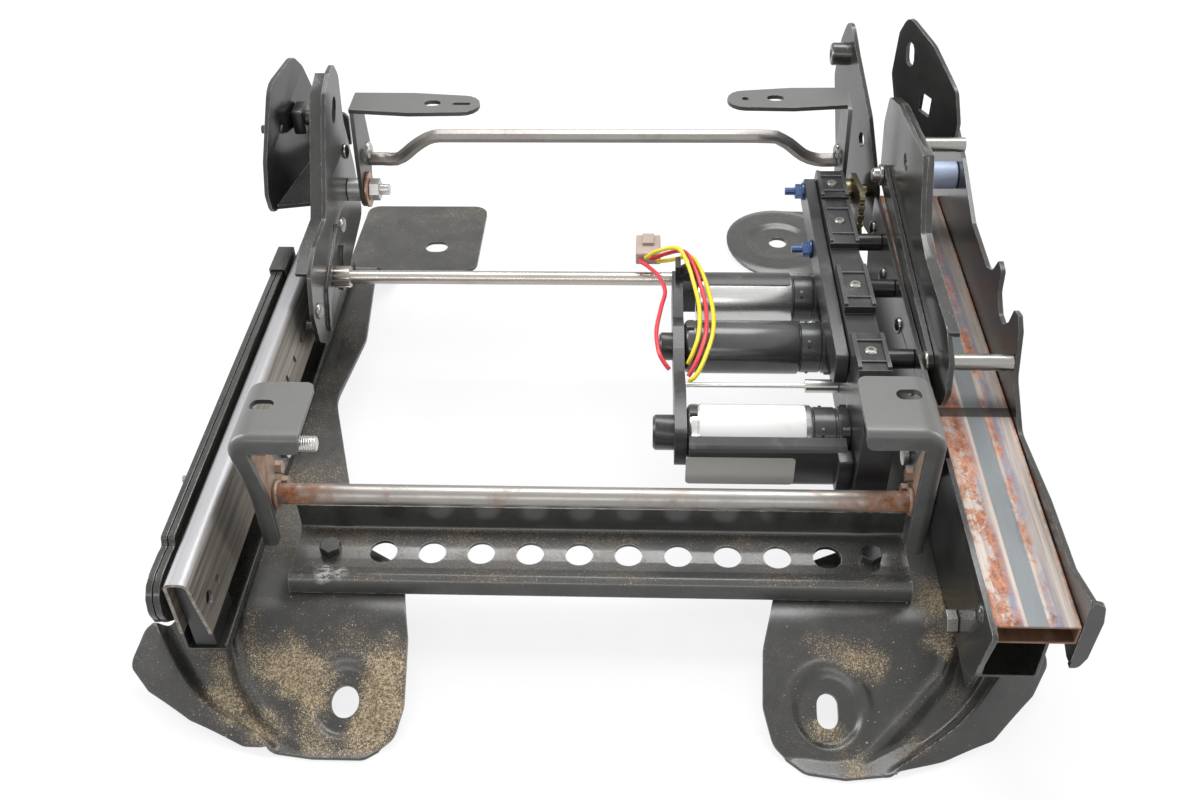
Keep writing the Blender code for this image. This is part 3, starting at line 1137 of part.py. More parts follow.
def build_motors():
    """Three motors, their yoke, end caps, cradle, rod and connector hook."""
    nose = MOTOR_SEAT_X - NOSE_LEN
    can_left = YOKE_X[1] + GAP
    hand_over(motor(REAR_MOTOR_Y, can_left + 9, nose), "rear_motor", "motor_can")
    hand_over(motor(MIDDLE_MOTOR_Y, can_left, nose), "middle_motor", "motor_can")
    hand_over(motor(FRONT_MOTOR_Y, can_left, nose), "front_motor", "motor_can")

    yoke = rounded([(FRONT_MOTOR_Y - 18, -20, 5), (FRONT_MOTOR_Y + 16, -20, 5), (ROD_Y, -14, 8),
                    (MIDDLE_MOTOR_Y, -20, 6), (REAR_MOTOR_Y + 8, -18, 6), (REAR_MOTOR_Y + 12, 4, 5),
                    (REAR_MOTOR_Y + 4, 11, 3), (MIDDLE_MOTOR_Y + 14, 4, 5), (MIDDLE_MOTOR_Y, 10, 6),
                    (MIDDLE_MOTOR_Y - 16, 4, 5), (ROD_Y, 2, 8), (FRONT_MOTOR_Y + 16, 10, 5),
                    (FRONT_MOTOR_Y - 18, 8, 5)])
    frame = plate("YZ", yoke, YOKE_X)
    rear = block((YOKE_X[1] - 1, can_left + 8.5), (REAR_MOTOR_Y - 8, REAR_MOTOR_Y + 8), (-14, 2))
    low = YOKE_X[0] + 2
    hook = [(low, 2), (low + 3.5, 2), (low + 3.5, 9), (low + 16, 9), (low + 16, 15), (low + 8, 16),
            (low + 3.5, 13), (low + 3.5, 20), (low, 20)]
    hook = plate("XZ", hook, (REAR_MOTOR_Y - 5, REAR_MOTOR_Y + 7))
    face = YOKE_X[0] + 1
    caps = [turned_x((MIDDLE_MOTOR_Y, MOTOR_Z), [(0.0, face), (9.0, face), (9.0, face - 8),
                                                 (7.5, face - 9.5), (0.0, face - 9.5)], 16),
            turned_x((FRONT_MOTOR_Y, MOTOR_Z), [(0.0, face), (10.5, face), (10.5, face - 12),
                                                (9.0, face - 13.5), (0.0, face - 13.5)], 16)]
    hand_over(fuse(frame, [rear, hook] + caps), "motor_yoke", "black_plastic")

    reach = MOTOR_R + 0.4
    cradle = plate("YZ", rounded([(CRADLE_FRONT_Y, 2, 3), (CRADLE_FRONT_Y, -27, 3),
                                  (FRONT_MOTOR_Y + 20, -27, 4), (FRONT_MOTOR_Y + 20, -10, 3),
                                  (FRONT_MOTOR_Y, -10), (FRONT_MOTOR_Y, 2)]),
                   (can_left + 1, MOTOR_SEAT_X - 3))
    bed = rod("X", (FRONT_MOTOR_Y, MOTOR_Z), (can_left - 5, MOTOR_SEAT_X + 5), reach, 24)
    case = block((HOUSE_X[0] - 9, HOUSE_X[0] - GAP), (CRADLE_FRONT_Y - 8, CRADLE_FRONT_Y + 3),
                 (-26, 0), 1)
    hand_over(cut(fuse(cradle, [case]), [bed]), "motor_cradle", "black_plastic")

    end = HOUSE_X[0] - GAP
    profile = [(0.0, end), (4.2, end), (4.2, nose + 4), (ROD_R, nose + 4), (ROD_R, can_left),
               (0.0, can_left)]
    hand_over(turned_x((ROD_Y, MOTOR_Z), profile, 16), "tie_rod", "zinc_steel")


WIRE_ROUTES = {
    "wire_yellow_long": [(28.4, 309.2, 3), (29.6, 306.8, 3.6), (40, 301.5, 9), (50.2, 291.5, 18.2),
                         (56.5, 275, 18.6), (61, 256, 15.6), (63.2, 236, 14.4), (62.4, 215, 12.8),
                         (57, 197, 7), (51.5, 186, 2.5), (47, 183.5, 0)],
    "wire_red_long": [(24.4, 309.2, 4.2), (25.4, 306.8, 5.4), (34.4, 303.8, 12), (46, 293.4, 20.6),
                      (52.3, 276, 20), (56.8, 257, 15.6), (59, 238, 13.6), (58.2, 216, 12.6),
                      (54, 201, 7.5), (49.6, 191.5, 3), (47, 188.5, 0)],
    "wire_yellow_short": [(20.4, 309.2, 5.2), (21.2, 306.8, 6.8), (27.4, 304.6, 13), (41.4, 294.4, 22.6),
                          (48, 277, 21.6), (52.4, 259, 15.8), (54.6, 243, 13.4), (54.6, 226, 12.6),
                          (53.2, 213, 10.5), (49.4, 202, 5.5), (47, 199.5, 1)],
    "wire_red_short": [(16.4, 309.2, 3), (17.2, 306.4, 3.2), (21.2, 300.5, 4.4), (29, 286, 6),
                       (33.2, 266, 8), (30.6, 248, 8), (27.6, 226, 6), (29, 208, 4),
                       (32, 201.5, 1), (35.6, 197.5, -2)],
}


def build_wiring():
    """The small connector, resting on the cross shaft, and its four wires."""
    x, y, z = CONNECTOR_AT
    wide, deep, high = (size / 2 for size in CONNECTOR_SIZE)
    body = block((x - wide, x + wide), (y - deep, y + deep), (z - high + 3, z + high + 3), 0.8)
    latch = block((x - 4, x + 4), (y - 2, y + deep - 2), (z + high + 2, z + high + 5.5))
    hand_over(fuse(body, [latch]), "wire_connector", "beige_plastic")
    for name, route in WIRE_ROUTES.items():
        finish = "yellow_wire" if "yellow" in name else "red_wire"
        hand_over(pipe(smooth_route(route, 4.0), WIRE_R, 1), name, finish)


def build_assembly():
    """Every piece of the seat track."""
    build_bases()
    build_cross_member()
    build_left_rail()
    build_guide_bars()
    build_right_rail()
    build_base_side_plate()
    build_cross_shaft()
    build_front_lift()
    build_rear_lift()
    build_left_bracket()
    build_right_brackets()
    build_right_carriage()
    build_gear_housing()
    build_motors()
    build_wiring()


build_assembly()
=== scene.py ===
"""Looks of the powered seat track: finishes, moulded detail, wiring and light round the CAD frame."""

import logging
import math
from dataclasses import dataclass, field
from enum import Enum
from typing import Callable, Iterable, Sequence

import bpy
import bmesh
import numpy as np
from mathutils import Matrix, Vector

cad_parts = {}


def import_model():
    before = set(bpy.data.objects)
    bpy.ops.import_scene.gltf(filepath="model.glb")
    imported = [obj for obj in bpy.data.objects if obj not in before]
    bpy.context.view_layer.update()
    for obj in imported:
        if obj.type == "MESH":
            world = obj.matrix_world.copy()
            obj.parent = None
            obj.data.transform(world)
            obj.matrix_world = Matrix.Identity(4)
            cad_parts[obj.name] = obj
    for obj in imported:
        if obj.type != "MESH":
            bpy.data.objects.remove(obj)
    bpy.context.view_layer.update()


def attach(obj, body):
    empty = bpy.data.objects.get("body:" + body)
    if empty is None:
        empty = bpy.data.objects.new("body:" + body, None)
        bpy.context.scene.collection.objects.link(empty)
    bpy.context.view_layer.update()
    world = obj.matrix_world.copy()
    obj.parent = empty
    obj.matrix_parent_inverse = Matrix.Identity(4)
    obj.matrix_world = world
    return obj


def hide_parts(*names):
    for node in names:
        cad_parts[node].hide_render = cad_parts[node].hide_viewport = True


LOG = logging.getLogger("seat_track")
Array = np.ndarray
Pair = tuple[float, float]
Triple = tuple[float, float, float]
Colour = Triple
Piece = bpy.types.Object

MM = 0.001
RAIL_TO_FRAME = np.array((11.3, -253.0, 96.0))
FLOOR_Z = -96.0
WEB_Z = -60.0
CREASE = math.radians(35)
CAD_CREASE = math.radians(38)
WELD_DISTANCE = 0.000003
FLAT_ANGLE = math.radians(0.6)

# Colours of wear and dirt, and of painted light and shade, as linear red, green and blue
SAND_BROWN, SAND_STRAW, GRAIN = (0.15, 0.105, 0.055), (0.56, 0.46, 0.31), (0.63, 0.58, 0.46)
SCUFFED, PAINTED_TOP_SHEEN = (0.16, 0.155, 0.145), (0.125, 0.125, 0.121)
WORN_AND_GLINT_EDGE, SCRAPED = (0.42, 0.415, 0.40), (0.70, 0.69, 0.66)
GRIME, DRY_DUST = (0.10, 0.088, 0.072), (0.36, 0.325, 0.26)
SLATE_DARK, SLATE_PALE = (0.095, 0.108, 0.116), (0.215, 0.236, 0.245)
WALL_DARK, WALL_PALE = (0.085, 0.045, 0.028), (0.30, 0.17, 0.10)
LIT_SILVER_DARK, LIT_SILVER_PALE = (0.25, 0.247, 0.256), (0.37, 0.366, 0.375)
SHADED_ZINC_DARK, SHADED_ZINC_PALE = (0.13, 0.118, 0.10), (0.36, 0.33, 0.29)
VIOLET_SCALE, TUBE_LINE, TUBE_SHADE = (0.17, 0.165, 0.215), (0.50, 0.40, 0.32), (0.016, 0.012, 0.010)
ZINC_STAIN, ZINC_SCRATCH, OLD_GREASE = (0.26, 0.235, 0.20), (0.12, 0.11, 0.10), (0.30, 0.21, 0.085)
PAPER_SOIL, PAPER_NICK, WIRE_DIRT = (0.47, 0.44, 0.38), (0.25, 0.24, 0.22), (0.12, 0.10, 0.08)

# Colour ramps: place from 0 to 1, and its colour
RUST = ((0.3, (0.10, 0.035, 0.015)), (0.55, (0.30, 0.11, 0.04)), (0.8, (0.46, 0.24, 0.11)))
TUBE_STEEL = ((0.3, (0.19, 0.165, 0.155)), (0.5, (0.34, 0.295, 0.26)), (0.68, (0.47, 0.42, 0.38)))
TUBE_RUST = ((0.32, (0.085, 0.030, 0.016)), (0.45, (0.33, 0.105, 0.045)),
             (0.57, (0.54, 0.235, 0.125)), (0.72, (0.60, 0.42, 0.31)))
LOOSE_SAND = ((0.3, (0.20, 0.13, 0.07)), (0.5, (0.42, 0.33, 0.20)), (0.7, (0.62, 0.55, 0.42)))


class Body(Enum):
    """The moving bodies of the frame."""

    FRAME = "lower_frame"
    CARRIAGE = "carriage"
    SHAFT = "slide_shaft"
    FRONT = "front_lift"
    REAR = "rear_lift"


class Side(Enum):
    """Left or right of the seat, as the sign of X."""

    LEFT = -1
    RIGHT = 1


class Axis(Enum):
    """An axis of the frame, as its column."""

    X = 0
    Y = 1
    Z = 2


def rail(points: Sequence | Array) -> Array:
    """Turn rail millimetres into metres of the frame.

    Args:
        points: Places as (..., 3), y behind the front datum and z above the rails.

    Returns:
        The same places in metres.
    """
    return (np.asarray(points, float) + RAIL_TO_FRAME) * MM


def ease(value: Array) -> Array:
    """Smooth step: 3t^2 - 2t^3 of the value held between 0 and 1."""
    value = np.clip(value, 0.0, 1.0)
    return value * value * (3 - 2 * value)


def paler(colour: Colour, factor: float, more: float = 0.0) -> Colour:
    """A colour times a factor and raised, held at white."""
    return tuple(min(channel * factor + more, 1) for channel in colour)


# Shader maths


class Wire:
    """A shader socket that takes part in arithmetic."""

    def __init__(self, graph: "Graph", socket: bpy.types.NodeSocket) -> None:
        self.graph = graph
        self.socket = socket

    def maths(self, operation: str, *others: "Wire | float", flip: bool = False) -> "Wire":
        """Add a Math node with this socket and others.

        Args:
            operation: The Math node's operation.
            others: Its other values.
            flip: Whether this socket comes last.

        Returns:
            The node's result.
        """
        values = [self, *others]
        if flip:
            values.reverse()
        return self.graph.node("ShaderNodeMath", {"operation": operation},
                               dict(enumerate(values)))

    def __add__(self, other: "Wire | float") -> "Wire":
        """Sum."""
        return self.maths("ADD", other)

    __radd__ = __add__

    def __sub__(self, other: "Wire | float") -> "Wire":
        """Difference."""
        return self.maths("SUBTRACT", other)

    def __rsub__(self, other: float) -> "Wire":
        """Difference from a number."""
        return self.maths("SUBTRACT", other, flip=True)

    def __mul__(self, other: "Wire | float") -> "Wire":
        """Product."""
        return self.maths("MULTIPLY", other)

    __rmul__ = __mul__

    def __abs__(self) -> "Wire":
        """Distance from zero."""
        return self.maths("ABSOLUTE")

    def within(self, low: float, high: float) -> "Wire":
        """A smooth step from 0 at low to 1 at high."""
        return self.graph.node("ShaderNodeMapRange", {"interpolation_type": "SMOOTHSTEP"},
                               {"Value": self, "From Min": low, "From Max": high})

    def limited(self) -> "Wire":
        """The value held between 0 and 1."""
        return self.graph.node("ShaderNodeClamp", {}, {"Value": self})


class Graph:
    """The nodes of one material."""

    def __init__(self, name: str) -> None:
        self.material = bpy.data.materials.new(name)
        self.material.use_nodes = True
        self.tree = self.material.node_tree
        self.shader = self.tree.nodes["Principled BSDF"]
        self.place = self.node("ShaderNodeTexCoord", {}, {}, "Object")
        self.spot = self.node("ShaderNodeSeparateXYZ", {}, {0: self.place}, "X")
        self.normal = self.node("ShaderNodeNewGeometry", {}, {}, "Normal")

    def node(self, kind: str, settings: dict[str, object], inputs: dict[str | int, object],
             output: str | int = 0) -> Wire:
        """Add any node.

        Args:
            kind: The node's type.
            settings: Its settings.
            inputs: Values or sockets by input name or number.
            output: The output to use.

        Returns:
            The chosen output.
        """
        node = self.tree.nodes.new(kind)
        for key, value in settings.items():
            setattr(node, key, value)
        for key, value in inputs.items():
            if isinstance(value, Wire):
                self.tree.links.new(value.socket, node.inputs[key])
            else:
                node.inputs[key].default_value = value
        return Wire(self, node.outputs[output])

    def ramp(self, share: Wire, stops: Sequence[tuple[float, Colour]]) -> Wire:
        """A colour read from a ramp's stops (place, colour) at a share."""
        made = self.node("ShaderNodeValToRGB", {}, {0: share})
        elements = made.socket.node.color_ramp.elements
        while len(elements) < len(stops):
            elements.new(0.5)
        for element, (place, colour) in zip(elements, stops):
            element.position = place
            element.color = (*colour, 1.0)
        return made

    def along(self, axis: Axis) -> Wire:
        """One coordinate of the piece, in metres of the frame."""
        node = self.spot.socket.node
        return Wire(self, node.outputs[axis.value])

    def facing(self, axis: Axis = Axis.Z) -> Wire:
        """How far the surface faces along an axis, from -1 to 1."""
        parts = self.node("ShaderNodeSeparateXYZ", {}, {0: self.normal})
        return Wire(self, parts.socket.node.outputs[axis.value])

    def stretched(self, scale: Sequence[float]) -> Wire:
        """The place, multiplied along each axis."""
        return self.node("ShaderNodeVectorMath", {"operation": "MULTIPLY"},
                         {0: self.place, 1: tuple(scale)})

    def noise(self, scale: float, detail: float = 4.0, rough: float = 0.6,
              stretch: Sequence[float] | None = None, seed: float = 0.0) -> Wire:
        """Fractal noise from 0 to 1.

        Args:
            scale: Features for each metre.
            detail: Octaves.
            rough: Share that each octave keeps.
            stretch: Multiplier of each axis, for streaks.
            seed: A number for another pattern.

        Returns:
            The noise.
        """
        place = self.stretched(stretch) if stretch else self.place
        return self.node("ShaderNodeTexNoise", {"noise_dimensions": "4D"},
                         {"Vector": place, "W": seed, "Scale": scale, "Detail": detail,
                          "Roughness": rough}, "Fac")

    def cells(self, scale: float) -> Wire:
        """Distance to the nearest of scattered points."""
        return self.node("ShaderNodeTexVoronoi", {}, {"Vector": self.place, "Scale": scale},
                         "Distance")

    def blend(self, share: "Wire | float", first: "Wire | Colour",
              second: "Wire | Colour") -> Wire:
        """Mix two colours by a share."""
        full = [value if isinstance(value, Wire) else (*value, 1.0) for value in (first, second)]
        return self.node("ShaderNodeMix", {"data_type": "RGBA"},
                         {0: share, 6: full[0], 7: full[1]}, 2)

    def edges(self, radius: float = 0.0009) -> Wire:
        """Where the surface turns sharply: 1 less the product of its own and its rounded normal."""
        rounded = self.node("ShaderNodeBevel", {"samples": 4}, {"Radius": radius})
        product = self.node("ShaderNodeVectorMath", {"operation": "DOT_PRODUCT"},
                            {0: rounded, 1: self.normal}, "Value")
        return (1 - product).within(0.02, 0.16)

    def warped(self, scale: float, reach: float, seed: float = 0.0) -> Wire:
        """The place, carried about by coloured noise.

        Args:
            scale: Features for each metre.
            reach: The widest shift in metres.
            seed: A number for another pattern.

        Returns:
            The moved place.
        """
        cloud = self.node("ShaderNodeTexNoise", {"noise_dimensions": "4D"},
                          {"Vector": self.place, "W": seed, "Scale": scale, "Detail": 5.0,
                           "Roughness": 0.65}, "Color")
        shift = self.node("ShaderNodeVectorMath", {"operation": "MULTIPLY_ADD"},
                          {0: cloud, 1: (reach,) * 3, 2: (-reach / 2,) * 3})
        return self.node("ShaderNodeVectorMath", {"operation": "ADD"}, {0: self.place, 1: shift})

    def near(self, centre: Sequence[float], reach: float, place: Wire | None = None) -> Wire:
        """A round patch: 1 at the centre and 0 at the reach, in rail millimetres."""
        distance = self.node("ShaderNodeVectorMath", {"operation": "DISTANCE"},
                             {0: place or self.place, 1: tuple(rail(centre))}, "Value")
        return 1 - distance.within(reach * 0.0002, reach * 0.001)

    def bump(self, height: Wire, depth: float) -> Wire:
        """A normal raised by a height from 0 to 1.

        Args:
            height: The height's share.
            depth: The whole height in millimetres.

        Returns:
            The normal.
        """
        return self.node("ShaderNodeBump", {}, {"Height": height, "Strength": 1.0,
                                                "Distance": depth * MM})

    def finish(self, **sockets: object) -> bpy.types.Material:
        """Set or link the shader's sockets, with _ for spaces, and give the material."""
        for key, value in sockets.items():
            target = self.shader.inputs[key.replace("_", " ")]
            if isinstance(value, Wire):
                self.tree.links.new(value.socket, target)
            elif isinstance(value, tuple) and len(value) == 3:
                target.default_value = (*value, 1.0)
            else:
                target.default_value = value
        return self.material


@dataclass(frozen=True)
class Finish:
    """A finish of the seat track's pieces; each kind builds its own nodes once."""

    name: str

    def material(self) -> bpy.types.Material:
        """The finish as a material, made the first time."""
        return bpy.data.materials.get(self.name) or self.build(Graph(self.name))

    def build(self, g: Graph) -> bpy.types.Material:
        """Make the nodes."""
        raise NotImplementedError


@dataclass(frozen=True)
class SatinCoat(Finish):
    """Baked coat on pressed steel, with sand and dust on what faces up, a painted sheen on faces that look up,
    and edges paled partly as wear and partly as a painted highlight.
    """

    colour: Colour = (0.018, 0.018, 0.0172)
    roughness: float = 0.24
    dust: float = 0.25
    # How strongly edges turn paler, partly as wear and partly as a painted highlight on rounded edges
    wear_and_glint: float = 0.6
    # Share of a painted sheen that makes faces that look up paler, as if lit from above
    top_sheen: float = 0.0
    heaps: tuple[tuple[float, float, float, float, float], ...] = ()
    scrapes: tuple[tuple[float, float, float, float], ...] = ()

    def build(self, g: Graph) -> bpy.types.Material:
        """Mix coat, sand, a painted top sheen, and edges paled partly as wear and partly as a painted
        highlight.

        The sand's share is a cloud of noise and round patches, read at a place that noise carries
        about. Fine grains are noise above a level that falls as the share rises, and coarse grains are
        discs round scattered points.
        """
        up = g.facing().within(0.1, 0.85)
        wander = g.warped(26, 0.05, 3)
        cloud = g.noise(24, 6, 0.68).within(0.38, 0.72)
        share = cloud * (self.dust * 0.42)
        for x, y, z, reach, much in self.heaps:
            share = share + g.near((x, y, z), reach, wander) * much
        share = (share * up).limited()
        fine = (g.noise(1700, 2, 0.55, seed=2) + share * 0.21 - 0.63).within(0.0, 0.06)
        fine = fine * (share * 2.2 + self.dust * 0.35).limited() * up
        coarse = (share * 0.10 + 0.085 - g.cells(300)).within(0.0, 0.03)
        coarse = coarse * g.noise(70, 4, 0.7, seed=9).within(0.46, 0.6) * up
        coarse = coarse * min(self.dust * 2.2, 1)
        film = share * 0.14
        # Edges paled partly as wear and partly as a painted highlight of the rounded edges
        edge = g.edges() * g.noise(160, 3, seed=5).within(0.34, 0.62) * self.wear_and_glint
        tone = g.noise(60, 5, 0.7, seed=1).within(0.3, 0.75)
        base = g.blend(tone, self.colour, paler(self.colour, 1.7, 0.002))
        scuff = g.noise(28, 8, 0.75, stretch=(1, 6, 6), seed=7).within(0.67, 0.74) * 0.12
        base = g.blend(scuff, base, SCUFFED)
        # Painted sheen: faces that look up turn paler, standing in for the light from above
        base = g.blend(up * self.top_sheen, base, PAINTED_TOP_SHEEN)
        base = g.blend(edge, base, WORN_AND_GLINT_EDGE)
        for x, y, z, reach in self.scrapes:
            mark = g.near((x, y, z), reach, g.warped(60, 0.012, 1))
            torn = g.noise(240, 7, 0.8, stretch=(1, 2.5, 1), seed=reach).within(0.46, 0.53)
            base = g.blend((mark * torn).limited(), base, SCRAPED)
        sand = g.blend(g.noise(650, 3, 0.7, seed=6).within(0.35, 0.65), SAND_BROWN, SAND_STRAW)
        colour = g.blend((film + fine).limited(), base, sand)
        colour = g.blend(coarse, colour, GRAIN)
        grit = (fine + coarse).limited()
        rough = g.noise(35, 4, seed=3) * 0.14 + (self.roughness - 0.05) + film * 1.4 + grit * 0.5
        lift = g.noise(420, 3, 0.5, seed=4) * 0.22 + grit
        return g.finish(Base_Color=colour, Roughness=rough.limited(), Metallic=0.0, IOR=1.6,
                        Normal=g.bump(lift, 0.07))


@dataclass(frozen=True)
class DrawnSteel(Finish):
    """Bare or plated steel with drawing streaks, grime and light rust."""

    colour: Colour = (0.50, 0.47, 0.43)
    roughness: float = 0.3
    streak: Axis = Axis.X
    rust: float = 0.15
    rust_ends: tuple[float, ...] = ()
    grime: float = 0.35
    metallic: float = 0.9

    def build(self, g: Graph) -> bpy.types.Material:
        """Streak the steel along its axis, then add grime and rust by noise and by end."""
        stretch = [1.0, 1.0, 1.0]
        stretch[self.streak.value] = 0.04
        streaks = g.noise(900, 3, 0.6, stretch)
        tone = g.noise(30, 5, 0.65, seed=1)
        steel = g.blend(streaks, paler(self.colour, 0.8), paler(self.colour, 1.14))
        grime = g.noise(14, 8, 0.72, seed=2).within(0.46, 0.74) * self.grime
        steel = g.blend(grime, steel, GRIME)
        amount = g.noise(24, 8, 0.74, seed=3).within(0.64 - self.rust * 0.3, 0.74)
        amount = amount * (0.35 + self.rust)
        for end in self.rust_ends:
            reach = 1 - abs(g.along(self.streak) - end).within(0.004, 0.05)
            amount = amount + reach * g.noise(120, 6, 0.7, seed=4).within(0.3, 0.62)
        amount = amount.limited()
        colour = g.blend(amount, steel, g.ramp(g.noise(260, 5, 0.7, seed=6), RUST))
        rough = self.roughness + streaks * 0.12 + tone * 0.08 - 0.08 + grime * 0.3 + amount * 0.4
        lift = streaks * 0.25 + g.noise(700, 4, 0.7, seed=8) * amount
        return g.finish(Base_Color=colour, Roughness=rough.limited(),
                        Metallic=(self.metallic * (1 - amount) * (1 - grime * 0.5)).limited(),
                        Normal=g.bump(lift, 0.06))


@dataclass(frozen=True)
class RustyTube(Finish):
    """The right tube: a blue-grey stripe along its top between bands of mottled rust."""

    middle_x: float = 213.5
    stripe: float = 5.3
    shade_y: float = 158.0

    def build(self, g: Graph) -> bpy.types.Material:
        """Pick stripe, violet scale, rust and pale steel by the distance from the tube's middle."""
        centre = float(rail((self.middle_x, 0, 0))[0])
        side = (g.along(Axis.X) - centre) * 1000
        wander = side + (g.noise(22, 5, 0.65, (1, 0.4, 1), seed=3) - 0.5) * 9
        streaks = g.noise(380, 4, 0.65, (1, 0.03, 1))
        scale = (1 - abs(wander + 9.0).within(0.8, 4.0)) + (1 - abs(wander - 10.0).within(1.2, 5.0))
        scale = scale * g.noise(60, 5, 0.7, (1, 0.3, 1), seed=5).within(0.3, 0.62)
        colour = g.blend(scale.limited(), g.ramp(streaks, TUBE_STEEL), VIOLET_SCALE)
        band = (1 - abs(wander + 14.0).within(3.0, 9.0)) + (1 - abs(wander - 7.2).within(1.4, 4.6))
        band = (band + abs(side).within(18.0, 20.6) * 0.8).limited()
        blotch = g.noise(62, 10, 0.82, (1, 0.6, 1), seed=1)
        rust = (band * blotch.within(0.45, 0.53) + blotch.within(0.61, 0.68) * 0.5).limited()
        rust = (rust * g.noise(420, 6, 0.8, seed=9).within(0.30, 0.50)).limited()
        tone = g.ramp(g.noise(190, 7, 0.78, (1, 0.7, 1), seed=2), TUBE_RUST)
        colour = g.blend(rust * 0.95, colour, tone)
        line = 1 - abs(abs(side) - self.stripe - 0.9).within(0.4, 1.1)
        line = line * g.noise(30, 5, seed=6).within(0.3, 0.5)
        colour = g.blend(line * 0.35, colour, TUBE_LINE)
        stripe = 1 - abs(side).within(self.stripe - 0.5, self.stripe + 0.2)
        slate = g.blend(g.noise(45, 6, 0.65, (1, 0.35, 1), seed=7), SLATE_DARK, SLATE_PALE)
        colour = g.blend(stripe * 0.96, colour, slate)
        skin = float(rail((0, 0, -1.0))[2])
        top = g.facing().within(0.4, 0.8) * (g.along(Axis.Z) - skin).within(0, 0.0004)
        wall = g.blend(g.noise(170, 6, 0.75, seed=11), WALL_DARK, WALL_PALE)
        colour = g.blend(top, wall, colour)
        middle = float(rail((0, self.shade_y, 0))[1])
        shade = 1 - (abs(g.along(Axis.Y) - middle) * 1000).within(3.6, 4.6)
        colour = g.blend(shade * 0.86, colour, TUBE_SHADE)
        rough = (0.32 + rust * 0.42 + g.noise(60, 4, seed=7) * 0.16 - stripe * 0.04).limited()
        lift = g.noise(600, 5, 0.7, seed=8) * (0.2 + rust)
        return g.finish(Base_Color=colour, Roughness=rough,
                        Metallic=(0.45 - rust * 0.42 - stripe * 0.25).limited(),
                        Normal=g.bump(lift, 0.09))


@dataclass(frozen=True)
class GalvanisedRail(Finish):
    """The left rail: a painted lit silver on top and a painted shaded warm grey on its flared wall, with
    yellowed grease.
    """

    def build(self, g: Graph) -> bpy.types.Material:
        """Choose silver or warm grey by slope as painted light and shade, then lay rub marks, stains and
        grease.
        """
        rubs = g.noise(520, 4, 0.65, (1, 0.02, 1))
        spangle = g.noise(60, 6, 0.7, seed=1)
        # Painted light and shade: faces that look up get the lit silver, the flared wall a darker shaded warm
        # grey
        top = g.facing().within(0.45, 0.86)
        silver = g.blend(rubs, LIT_SILVER_DARK, LIT_SILVER_PALE)
        wall = g.blend(rubs.within(0.3, 0.7), SHADED_ZINC_DARK, SHADED_ZINC_PALE)
        zinc = g.blend(top, wall, silver)
        zinc = g.blend(spangle.within(0.50, 0.78) * 0.4, zinc, ZINC_STAIN)
        scratch = g.noise(240, 3, 0.5, (1, 0.012, 1), seed=3).within(0.63, 0.67)
        zinc = g.blend(scratch * 0.6, zinc, ZINC_SCRATCH)
        grease = g.noise(70, 7, 0.78, seed=2).within(0.62, 0.68) * (1 - top)
        colour = g.blend(grease * 0.75, zinc, OLD_GREASE)
        rough = (0.30 + rubs * 0.16 + spangle * 0.14 + grease * 0.1 + (1 - top) * 0.06).limited()
        return g.finish(Base_Color=colour, Roughness=rough,
                        Metallic=(0.72 - grease * 0.6).limited(),
                        Normal=g.bump(rubs * 0.5 + grease * 0.6, 0.05))


@dataclass(frozen=True)
class Moulding(Finish):
    """Moulded plastic with a fine grain, dust on what faces up and a few pale scuffs."""

    colour: Colour = (0.016, 0.016, 0.017)
    roughness: float = 0.36
    grain: float = 0.5
    dust: float = 0.2

    def build(self, g: Graph) -> bpy.types.Material:
        """Vary tone and roughness by noise and let dust settle on what faces up."""
        up = g.facing().within(0.2, 1.0)
        dust = (g.noise(45, 6, 0.7, seed=2).within(0.5, 0.78) * up
                + g.noise(1300, 2, seed=3).within(0.6, 0.7) * up * 0.6) * self.dust
        tone = g.noise(90, 5, 0.7, seed=1)
        base = g.blend(tone, self.colour, paler(self.colour, 1.6, 0.002))
        scuff = g.noise(60, 9, 0.8, (5, 1, 5), seed=5).within(0.68, 0.73) * 0.22
        base = g.blend(scuff, base, paler(self.colour, 1, 0.12))
        edge = g.edges(0.0006) * g.noise(120, 4, seed=7).within(0.3, 0.6) * 0.4
        base = g.blend(edge, base, paler(self.colour, 1, 0.22))
        colour = g.blend(dust.limited(), base, DRY_DUST)
        rough = (self.roughness - 0.07 + tone * 0.16 + dust * 0.35).limited()
        return g.finish(Base_Color=colour, Roughness=rough,
                        Normal=g.bump(g.noise(1700, 2, 0.5, seed=4), 0.02 * self.grain))


@dataclass(frozen=True)
class Paper(Finish):
    """A blank printed-stock label, slightly soiled and lifted by what lies under it."""

    colour: Colour = (0.80, 0.80, 0.79)

    def build(self, g: Graph) -> bpy.types.Material:
        """Stain and crease pale stock by noise."""
        soil = g.noise(55, 7, 0.72).within(0.52, 0.78)
        fibre = g.noise(1400, 3, 0.6, seed=2)
        base = g.blend(fibre * 0.5, self.colour, paler(self.colour, 0.93))
        colour = g.blend(soil * 0.35, base, PAPER_SOIL)
        nick = g.noise(240, 4, 0.7, seed=4).within(0.69, 0.73)
        colour = g.blend(nick * 0.5, colour, PAPER_NICK)
        return g.finish(Base_Color=colour, Roughness=(0.42 + soil * 0.2).limited(),
                        Normal=g.bump(g.noise(90, 3, seed=3), 0.06))


